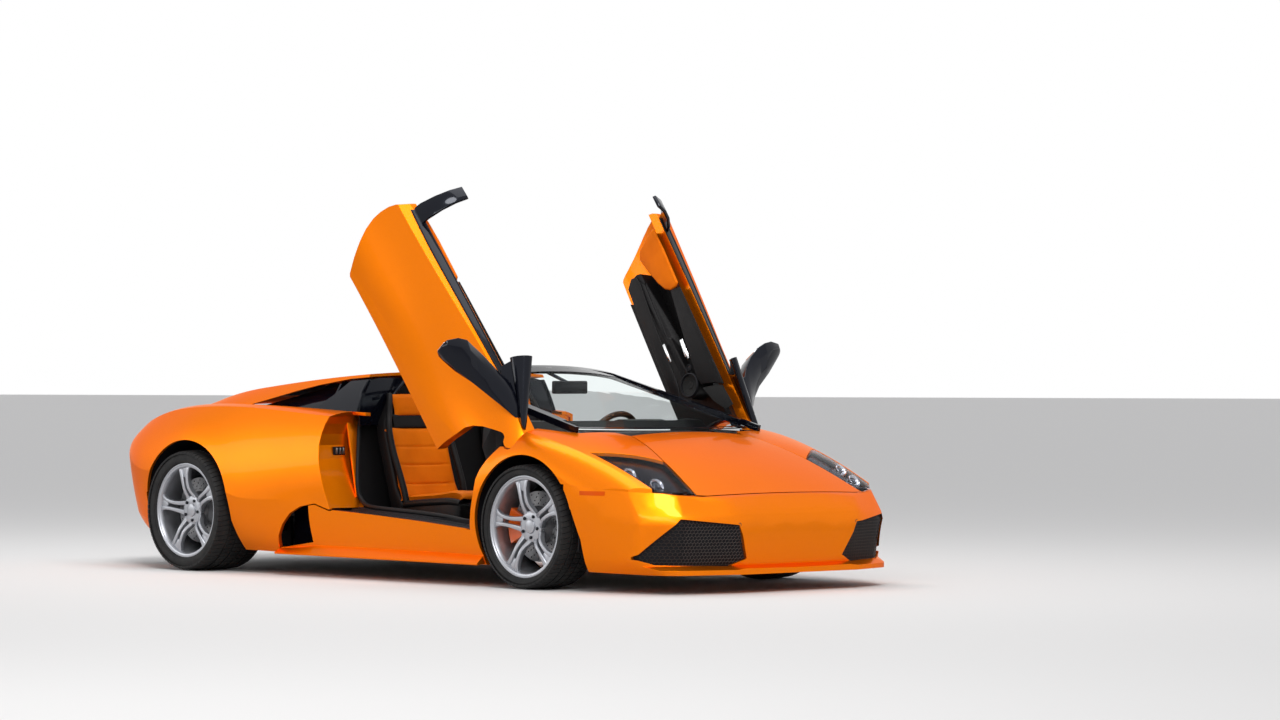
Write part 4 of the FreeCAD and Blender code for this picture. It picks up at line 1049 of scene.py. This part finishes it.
# doors: pieces are made on the shut right door, swung open about its hinge and mirrored
hingeLook = {"place": (1.1445, -0.850, 0.749), "axis": (0.076, 1.0, 0.041), "open": 52.6}
doorLook = {"face": -0.734, "padUp": 0.009,
            "lowPad": [(-0.040, 0.500), (0.120, 0.482), (0.635, 0.456), (0.690, 0.462), (0.706, 0.500),
                       (0.660, 0.520), (0.606, 0.530), (0.429, 0.545), (0.213, 0.561), (-0.010, 0.592),
                       (-0.060, 0.584), (-0.074, 0.550)],
            "highPad": [(0.160, 0.762), (0.187, 0.753), (0.478, 0.694), (0.700, 0.662), (0.744, 0.672),
                        (0.800, 0.760), (0.840, 0.800), (0.840, 0.806), (0.300, 0.822), (0.196, 0.824),
                        (0.186, 0.800)],
            "cap": [(-0.120, 0.662), (-0.020, 0.680), (0.080, 0.705), (0.140, 0.730), (0.172, 0.762), (0.180, 0.800),
                    (0.168, 0.826), (-0.060, 0.838), (-0.200, 0.838), (-0.186, 0.770), (-0.160, 0.690)],
            "pocket": [(0.000, 0.604), (0.350, 0.578), (0.385, 0.600), (0.380, 0.650), (0.300, 0.662),
                       (0.080, 0.664), (0.000, 0.640)],
            "corner": [(-0.450, 0.380), (-0.027, 0.380), (-0.027, 0.487), (-0.055, 0.511), (-0.076, 0.544),
                       (-0.077, 0.583), (-0.062, 0.613), (-0.066, 0.640), (-0.118, 0.658), (-0.162, 0.690),
                       (-0.188, 0.770), (-0.202, 0.845), (-0.450, 0.845)],
            "speaker": (0.690, 0.590, 0.056), "tweeter": (0.610, 0.640, 0.020),
            "panel": [(0.762, 0.664), (0.870, 0.690), (0.968, 0.742), (0.976, 0.800), (0.842, 0.792),
                      (0.812, 0.756)],
            "switch": [(0.386, 0.549), (0.500, 0.540), (0.502, 0.558), (0.388, 0.567)],
            "lever": [(0.440, 0.664), (0.540, 0.650), (0.566, 0.658), (0.566, 0.672), (0.540, 0.678),
                      (0.446, 0.688)]}
beltLook = {"xs": [-0.250, -0.150, 0.0, 0.200, 0.400, 0.604, 0.790],
            "outer": [-0.822, -0.826, -0.828, -0.824, -0.818, -0.812, -0.806],
            "inner": [-0.779] * 7, "radius": 0.0042, "lift": 0.001}


def swing(sign):
    h = Vector(hingeLook["place"])
    turn = Matrix.Rotation(math.radians(sign * hingeLook["open"]), 4, Vector(hingeLook["axis"]).normalized())
    return Matrix.Translation(h) @ turn @ Matrix.Translation(-h)


def shutTree(name):
    key = "shut:" + name
    mesh = nodes[name].data
    surfaceTrees[key] = BVHTree.FromPolygons([swing(-1) @ v.co for v in mesh.vertices],
                                             [p.vertices for p in mesh.polygons])
    return key


def finishDoorPair(piece, word, look, smooth, node=None, slot=None):
    piece.matrix_world = swing(1) @ piece.matrix_world
    settle(piece)
    replaced = [("door_%s_%s" % (side, node),) if node else () for side in ("right", "left")]
    finishPair(piece, word, look, smooth, replaced, ("door_right", "door_left"))


def doorPlate(outline, y, push, rounding, segments=3):
    return addPlate("doorPart", [(x, y, z) for x, z in doorLook[outline]], (0, push, 0), rounding, segments)


def addDoors():
    d = doorLook
    face, up = d["face"], d["padUp"]
    trim = bareCopy("door_right_trim", "doorTrimBody")
    trim.matrix_world = swing(-1)
    settle(trim)
    sx, sz, sr = d["speaker"]
    cup = addSpun("speakerTool", [(face - 0.010, 0.0), (face - 0.010, sr * 0.8), (face - 0.003, sr),
                                  (face + 0.02, sr), (face + 0.02, 0.0)], 40, False, (sx, 0, sz))
    for tool in (doorPlate("pocket", face - 0.020, 0.030, 0.008), cup, doorPlate("corner", -0.950, 0.300, 0)):
        cutAway(trim, tool)
    made = [(trim, "doorTrimBody", blackHide, 30, "trim"),
            (doorPlate("lowPad", face - 0.002, up + 0.003, 0.005), "doorLowPad", blackHide, 40),
            (doorPlate("highPad", face - 0.002, up, 0.004), "doorHighPad", blackHide, 40),
            (doorPlate("cap", face - 0.004, 0.019, 0.009, 4), "doorCap", orangeHide, 50),
            (doorPlate("panel", face - 0.002, 0.005, 0.002), "doorSpeakerPanel", carpet, 40),
            (doorPlate("switch", face + up - 0.002, 0.004, 0.0015, 2), "doorSwitch", chrome, 30),
            (doorPlate("lever", face - 0.001, 0.008, 0.0035), "doorLever", chrome, 40)]
    ring = addSpun("speakerRing", [(face - 0.002, sr), (face + 0.006, sr + 0.001), (face + 0.008, sr + 0.006),
                                   (face + 0.004, sr + 0.011), (face - 0.002, sr + 0.012)], 48, True, (sx, 0, sz))
    cone = addSpun("speakerCone", [(face - 0.009, 0.0), (face - 0.006, sr * 0.30), (face - 0.009, sr * 0.36),
                                   (face - 0.004, sr * 0.86), (face - 0.002, sr * 0.99), (face - 0.0095, sr * 0.99),
                                   (face - 0.0095, 0.0)], 48, False, (sx, 0, sz))
    tx, tz, tr = d["tweeter"]
    small = addSpun("tweeterRing", [(face - 0.002, tr), (face + 0.005, tr), (face + 0.006, tr * 0.86),
                                    (face + 0.002, tr * 0.8), (face + 0.004, tr * 0.3), (face + 0.0045, 0.0)],
                    32, False, (tx, 0, tz))
    made += [(joined("speakerRings", [ring, small]), "doorSpeakerRings", satin, 40),
             (cone, "doorSpeakerCone", carpet, 40)]
    skinKey = [shutTree("door_right")]
    lines = {}
    for word in ("outer", "inner"):
        found = [surfacePoint(skinKey, (x, y, 1.1), (0, 0, -1)) for x, y in zip(beltLook["xs"], beltLook[word])]
        lines[word] = [tuple(f[0] + Vector((0, 0, beltLook["lift"]))) for f in found if f]
        tube = addTube("beltSeal", lines[word], beltLook["radius"], 5)
        made.append((tube, "doorBeltSeal" + word.capitalize(), seal, 60))
    outline = [(x, y) for x, y, z in lines["outer"] + lines["inner"][::-1]]
    made.append((addPatch("glassSlot", outline, "+Z", skinKey, 0.0012, 60, 1.2), "doorGlassSlot", gloss, 30))
    for row in made:
        finishDoorPair(*row)
    print("door trims and belt seals made")


addDoors()


# mirrors on the doors: housing, glass, sail plate with its rolled front edge, and the seal fin behind the window
mirrorLook = {
    # y, rear face x, middle z, height, depth, drop of the front edge
    "pod": [(-1.180, 0.646, 0.892, 0.040, 0.024, 0.000), (-1.152, 0.630, 0.890, 0.100, 0.072, 0.008),
            (-1.083, 0.632, 0.888, 0.132, 0.138, 0.026), (-1.030, 0.646, 0.884, 0.132, 0.168, 0.036),
            (-0.990, 0.662, 0.870, 0.110, 0.186, 0.038), (-0.930, 0.710, 0.856, 0.086, 0.206, 0.040),
            (-0.880, 0.770, 0.846, 0.064, 0.218, 0.036), (-0.846, 0.830, 0.840, 0.054, 0.220, 0.030),
            (-0.810, 0.850, 0.832, 0.050, 0.220, 0.020)],
    "section": [(0.0, -0.50), (0.0, 0.50), (0.34, 0.47), (0.72, 0.22), (1.0, -0.16), (0.78, -0.40), (0.34, -0.52)],
    "glass": [(-1.160, 0.030), (-1.120, 0.048), (-1.060, 0.052), (-1.000, 0.046), (-0.968, 0.036)],
    "sailPlane": [(1.128, -0.818, 0.800), (0.850, -0.832, 0.810), (0.790, -0.700, 0.962)],
    "sail": [(1.128, 0.796), (0.850, 0.806), (0.759, 0.851), (0.761, 0.920), (0.796, 0.969)], "sailThick": 0.014,
    "rollTop": [(0.796, 0.969), (0.745, 0.896)], "rollFoot": [(1.128, 0.796), (1.075, 0.796)], "rollHigh": 0.022,
    # front x, rear x, y, z of the fin
    "fin": [(-0.160, -0.262, -0.806, 0.822), (-0.162, -0.260, -0.776, 0.900), (-0.166, -0.255, -0.722, 0.961),
            (-0.169, -0.250, -0.657, 1.010), (-0.171, -0.246, -0.590, 1.040)], "finThick": 0.020}


def moveNearest(verts, places, targets):
    pairs = [(min(verts, key=lambda v: (v.co - Vector(p)).length), q) for p, q in zip(places, targets)]
    for v, q in pairs:
        v.co = q


def addLoft(name, rings):
    step = Vector(rings[1][0]) - Vector(rings[0][0])
    obj = addPlate(name, rings[0], step)
    bm = editMesh(obj, "VERT")
    moveNearest(bm.verts, [Vector(p) + step for p in rings[0]], rings[1])
    bmesh.update_edit_mesh(obj.data)
    leaveEdit()
    for before, after in zip(rings[1:], rings[2:]):
        bm = editMesh(obj)
        middle = sum((Vector(p) for p in before), Vector()) / len(before)
        cap = min((f for f in bm.faces if len(f.verts) == len(before)),
                  key=lambda f: (f.calc_center_median() - middle).length)
        cap.select_set(True)
        bmesh.update_edit_mesh(obj.data)
        extrude((0, 0, 0))
        bm = bmesh.from_edit_mesh(obj.data)
        moveNearest([v for v in bm.verts if v.select], before, after)
        bmesh.update_edit_mesh(obj.data)
        leaveEdit()
    editMesh(obj)
    leaveEdit(True)
    return obj


def addMirrors():
    k = mirrorLook
    rings = [[(x + u * deep, y, z + w * high - drop * u) for u, w in k["section"]]
             for y, x, z, high, deep, drop in k["pod"]]
    pod = bevelEdges(addLoft("mirrorPod", rings), 0.005, 3, 25)
    a, b, c = (Vector(p) for p in k["sailPlane"])
    out = (b - a).cross(c - a).normalized()
    out = out if out.y < 0 else -out

    def onSail(x, z):
        return Vector((x, a.y - (out.x * (x - a.x) + out.z * (z - a.z)) / out.y, z))

    plate = addPlate("mirrorSail", [onSail(x, z) for x, z in k["sail"]], -out * k["sailThick"], 0.004, 2)
    rolls = []
    arc = [(i / 8, math.sin(math.pi * i / 8) ** 0.6) for i in range(9)]
    for t in (0.0, 0.25, 0.5, 0.75, 1.0):
        front, rear = (onSail(*top).lerp(onSail(*foot), t) for top, foot in zip(k["rollTop"], k["rollFoot"]))
        rolls.append([tuple(front.lerp(rear, u) + out * (k["rollHigh"] * h + 0.001)) for u, h in arc]
                     + [tuple(rear - out * 0.012), tuple(front - out * 0.012)])
    roll = addLoft("mirrorRoll", rolls)
    half = Vector((0, -0.69, 0.72)) * k["finThick"] / 2
    finRings = [[tuple(Vector((x, y, z)) + half * s) for x, s in ((x0, 1), (x1, 1), (x1, -1), (x0, -1))]
                for x0, x1, y, z in k["fin"]]
    fin = bevelEdges(addLoft("mirrorFin", finRings), 0.004, 2, 40)
    rows = sorted(k["pod"])

    def rearFace(y):
        for p, q in zip(rows, rows[1:]):
            if p[0] <= y <= q[0]:
                f = (y - p[0]) / (q[0] - p[0])
                return p[1] + f * (q[1] - p[1]), p[2] + f * (q[2] - p[2])

    faces = [(y, h) + rearFace(y) for y, h in k["glass"]]
    outline = [(x - 0.0005, y, z + h) for y, h, x, z in faces]
    outline += [(x - 0.0005, y, z - h) for y, h, x, z in reversed(faces)]
    glass = addPlate("mirrorGlass", outline, (-0.002, 0, 0))
    finishDoorPair(pod, "mirrorPod", gloss, 35, "mirror")
    finishDoorPair(plate, "mirrorSail", gloss, 30)
    finishDoorPair(roll, "mirrorRoll", gloss, 60)
    finishDoorPair(fin, "doorFin", gloss, 40)
    finishDoorPair(glass, "mirrorGlass", chrome, 0, None, "glass")
    print("mirrors and fins made")


addMirrors()


# front bumper with its shading eased across the creases, side markers
noseLook = {"cell": 0.045, "rounds": 26, "sharp": 48,
            "marker": [(1.690, 0.482), (1.838, 0.482), (1.838, 0.503), (1.690, 0.503)]}


def cutInCells(obj, low, high, cell):
    editMesh(obj)
    for axis in range(3):
        way = Vector([i == axis for i in range(3)])
        at = low[axis] + cell * 0.5
        while at < high[axis]:
            selectAll()
            bpy.ops.mesh.bisect(plane_co=way * at, plane_no=way)
            at += cell
    leaveEdit()


def easeNormals(obj, sharp, rounds):
    mesh = obj.data
    bm = bmesh.new()
    bm.from_mesh(mesh)
    bm.normal_update()
    limit = math.radians(sharp)
    creases = [e for e in bm.edges if len(e.link_faces) == 2 and e.calc_face_angle(0) > limit]
    bmesh.ops.split_edges(bm, edges=creases)
    bm.verts.index_update()
    bm.verts.ensure_lookup_table()
    normals = [sum((f.normal * f.calc_area() for f in v.link_faces), Vector()).normalized() for v in bm.verts]
    around = [[e.other_vert(v).index for e in v.link_edges] for v in bm.verts]
    for step in range(rounds):
        normals = [(n + sum((normals[i] for i in near), Vector()) / max(1, len(near))).normalized()
                   for n, near in zip(normals, around)]
    corners = [None] * len(mesh.loops)
    bm.faces.ensure_lookup_table()
    for face, poly in zip(bm.faces, mesh.polygons):
        for corner, loop in zip(face.loops, poly.loop_indices):
            corners[loop] = tuple(normals[corner.vert.index])
    bm.free()
    mesh.polygons.foreach_set("use_smooth", [True] * len(mesh.polygons))
    mesh.normals_split_custom_set(corners)


def addNose():
    k = noseLook
    nose = bareCopy("front_bumper", "noseSkin")
    cutInCells(nose, *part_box("front_bumper"), k["cell"])
    finishPiece(nose, paint, 0, ("front_bumper",))
    easeNormals(nose, k["sharp"], k["rounds"])
    marker = addPatch("sideMarker", k["marker"], "-Y", ["front_bumper", "front_wings"], 0.0012, 24, 1.5)
    finishPair(marker, "sideMarker", amber, 30)
    print("nose and markers made")


addNose()


# steering wheel, dashboard dress and inside mirror
wheelLook = {"centre": (0.560, 0.350, 0.712), "axis": (0.909, 0.0, -0.417), "rimR": 0.170, "rimT": 0.016,
             "pad": [(-0.060, 0.034), (0.060, 0.034), (0.052, -0.030), (0.026, -0.058), (-0.026, -0.058),
                     (-0.052, -0.030)],
             "arm": [(0.050, 0.018), (0.100, 0.010), (0.160, 0.012), (0.160, -0.014), (0.100, -0.014),
                     (0.050, -0.012)],
             "leg": [(0.014, -0.050), (0.034, -0.050), (0.056, -0.150), (0.036, -0.158)],
             "column": [(-0.040, 0.0), (-0.040, 0.040), (-0.060, 0.046), (-0.165, 0.034), (-0.165, 0.0)]}


def addSteering():
    k = wheelLook
    clearSelection()
    bpy.ops.mesh.primitive_torus_add(major_radius=k["rimR"], minor_radius=k["rimT"], major_segments=96,
                                     minor_segments=20, location=(0, 0, 0))
    rim = settle(bpy.context.object, "steeringRim")
    pad = addPlate("steeringPad", [(x, y, -0.030) for x, y in k["pad"]], (0, 0, 0.044), 0.010, 4)
    metal = []
    for s in (1, -1):
        metal.append(addPlate("steeringArm%d" % s, [(s * x, y, -0.016) for x, y in k["arm"]],
                              (0, 0, 0.010), 0.003, 2))
        metal.append(addPlate("steeringLeg%d" % s, [(s * x, y, -0.018) for x, y in k["leg"]],
                              (0, 0, 0.010), 0.003, 2))
    spokes = joined("steeringSpokes", metal)
    column = addSpun("steeringColumn", k["column"], 48, False)
    activate(column)
    column.rotation_euler = (math.pi / 2, 0, 0)
    settle(column)
    d = Vector(k["axis"]).normalized()
    up = Vector((-d.z, 0, d.x))
    place = Matrix.Translation(Vector(k["centre"])) @ matrixOf(up.cross(-d), up, -d).to_4x4()
    for piece, look, angle, swap in ((rim, rimHidePaintedReflection, 60, ("steering_wheel",)), (pad, blackHide, 40, ()),
                                     (spokes, satin, 30, ()), (column, satin, 40, ())):
        piece.matrix_world = place
        finishPiece(piece, look, angle, swap)
    print("steering wheel made")


dashLook = {"hood": [(0.704, 0.800), (0.722, 0.832), (0.760, 0.840), (0.800, 0.840), (0.880, 0.826),
                     (0.906, 0.812)],
            "hoodShare": 0.45,
            "dial": [(0.288, 0.046), (0.412, 0.046), (0.350, 0.026)],
            "lever": [(0.0, 0.0), (0.0, 0.024), (0.010, 0.010), (0.070, 0.008), (0.080, 0.018), (0.100, 0.022),
                      (0.112, 0.014), (0.114, 0.0)],
            "vents": [-0.560, -0.180, 0.020, 0.600], "ventZ": 0.745,
            "mirrorLow": (0.592, -0.119, 0.974), "mirrorHigh": (0.622, 0.119, 1.042)}


def addDash():
    k = dashLook
    board = bareCopy("dashboard", "dashBody")
    bm = editMesh(board)
    for v in bm.verts:
        if 0.2 < v.co.y < 0.5 and v.co.z > 0.8 and 0.69 < v.co.x < 0.89:
            v.co.z = 0.8 + (v.co.z - 0.8) * k["hoodShare"]
    bmesh.update_edit_mesh(board.data)
    leaveEdit()
    finishPiece(board, blackHide, 30, ("dashboard",))
    hood = addPlate("dashHood", [(x, 0.205, z) for x, z in k["hood"]] + [(0.900, 0.205, 0.800)],
                    (0, 0.290, 0), 0.010, 3)
    trims = []
    for y in k["vents"]:
        trims.append(addBlock("ventFrame", (0.676, y - 0.055, k["ventZ"] - 0.026),
                              (0.690, y + 0.055, k["ventZ"] + 0.026), 0.006, 2))
        for j in (-1, 0, 1):
            z = k["ventZ"] + 0.013 * j
            trims.append(addBlock("ventVane", (0.670, y - 0.048, z - 0.002), (0.680, y + 0.048, z + 0.002)))
    vents = joined("dashVents", trims)
    dials = []
    for y, r in k["dial"]:
        dial = addSpun("dial", [(0.0, 0.0), (0.0, r * 0.9), (0.006, r * 0.92), (0.006, r), (-0.004, r)], 40, False)
        dial.rotation_euler = (0, 0, math.pi / 2)
        dial.location = (0.694, y, 0.780)
        dials.append(settle(dial))
    rings = joined("dashDials", dials)
    screen = addBlock("dashScreen", (0.748, -0.075, 0.600), (0.760, 0.075, 0.690), 0.003, 2)
    lever = addSpun("gearLever", k["lever"], 32, False)
    lever.rotation_euler = (math.pi / 2, 0, 0)
    lever.location = (0.430, 0.0, 0.498)
    settle(lever)
    head = addBlock("insideMirror", k["mirrorLow"], k["mirrorHigh"], 0.0092, 4)
    for piece, look, angle in ((hood, blackHide, 40), (vents, satin, 30), (rings, steel, 30), (screen, gloss, 30),
                               (lever, chrome, 50), (head, satin, 40)):
        finishPiece(piece, look, angle)
    print("dashboard dressed")


addSteering()
addDash()


# black border of the windscreen, whose low band also stands in for the wipers and the painted shadow at the foot of
# the glass, engine cover slats, engine dress, exhaust tip and tail lamp parts
screenLook = {"lowX": 1.399, "lowSag": 0.074, "lowWide": 0.034, "topX": 0.434, "topSag": 0.100, "topWide": 0.070,
              "half": 0.600, "steps": 6}


def addScreenBands():
    k = screenLook
    bands = []
    # the low band is a black border that also stands in for the wipers and their shadow at the foot of the glass:
    # partly painted shadow
    for word, x0, sag, wide in (("Low", k["lowX"], k["lowSag"], -k["lowWide"]),
                                ("Top", k["topX"], k["topSag"], k["topWide"])):
        for i in range(k["steps"]):
            ya, yb = (k["half"] * (2.0 * j / k["steps"] - 1) for j in (i, i + 1))
            xa, xb = (x0 - sag * (y / 0.61) ** 2 for y in (ya, yb))
            bands.append(addPatch("screenBand%s%d" % (word, i),
                                  [(xa, ya), (xb, yb), (xb + wide, yb), (xa + wide, ya)], "+Z", ["windscreen"],
                                  0.0012, 16, 2.0))
    finishPiece(joined("screenBorder", bands), gloss, 30)
    print("windscreen border made")


rearLook = {"slats": 6, "slatFirst": -0.850, "slatPitch": 0.110, "slatLong": 0.050, "slatHalf": 0.326,
            "slatDrop": 0.026, "pipe": (-2.292, 0.0, 0.357), "pipeR": 0.0565}


def addRear():
    k = rearLook
    slats = []
    for i in range(k["slats"]):
        front = k["slatFirst"] - k["slatPitch"] * i
        back = front - k["slatLong"]
        za = surfacePoint(["engine_lid"], (front + 0.004, 0, 1.5), (0, 0, -1))[0].z - 0.002
        zb = za - k["slatDrop"]
        edge = [(front + 0.006, za - 0.010), (front + 0.006, za - 0.014), (back - 0.006, zb - 0.018),
                (back - 0.006, zb - 0.014)]
        slats.append(addPlate("lidSlat", [(x, -k["slatHalf"], z) for x, z in edge], (0, 2 * k["slatHalf"], 0)))
    finishPiece(joined("lidSlats", slats), satin, 30, (), "engine_lid")
    clearSelection()
    bpy.ops.mesh.primitive_torus_add(major_radius=k["pipeR"], minor_radius=0.0055, major_segments=72,
                                     minor_segments=14, location=k["pipe"], rotation=(0, math.pi / 2, 0))
    tip = settle(bpy.context.object, "exhaustTip")
    finishPiece(tip, chrome, 60)
    lenses, frames = [], []
    for side in (1, -1):
        for j in range(3):
            ya, yb = sorted((side * (0.358 + 0.100 * j), side * (0.450 + 0.100 * j)))
            lenses.append(addBlock("tailLens", (-2.3045, ya, 0.582), (-2.296, yb, 0.633), 0.004, 3))
        ya, yb = sorted((side * 0.352, side * 0.658))
        frames.append(addBlock("tailFrame", (-2.2995, ya, 0.577), (-2.292, yb, 0.638), 0.002, 2))
    finishPiece(joined("tailLenses", lenses), redGlass, 40, ("tail_lamps",))
    finishPiece(joined("tailFrames", frames), gloss, 30)
    cover = [addBlock("plenum", (-1.060, -0.150, 0.772), (-0.560, 0.150, 0.850), 0.022, 4)]
    for i in range(7):
        x = -1.020 + 0.072 * i
        cover.append(addBlock("plenumRib", (x - 0.008, -0.142, 0.846), (x + 0.008, 0.142, 0.858), 0.004, 2))
    for side in (1, -1):
        ya, yb = sorted((side * 0.178, side * 0.282))
        cover.append(addBlock("camCover", (-1.120, ya, 0.760), (-0.520, yb, 0.812), 0.016, 3))
        for i in range(6):
            x = -0.98 + 0.075 * i
            cover.append(addTube("runner", [(x, side * 0.140, 0.826), (x, side * 0.172, 0.836),
                                            (x, side * 0.205, 0.806)],
                                 0.014))
    finishPiece(joined("engineTop", cover), casting, 40)
    print("rear dressed")


addScreenBands()
addRear()
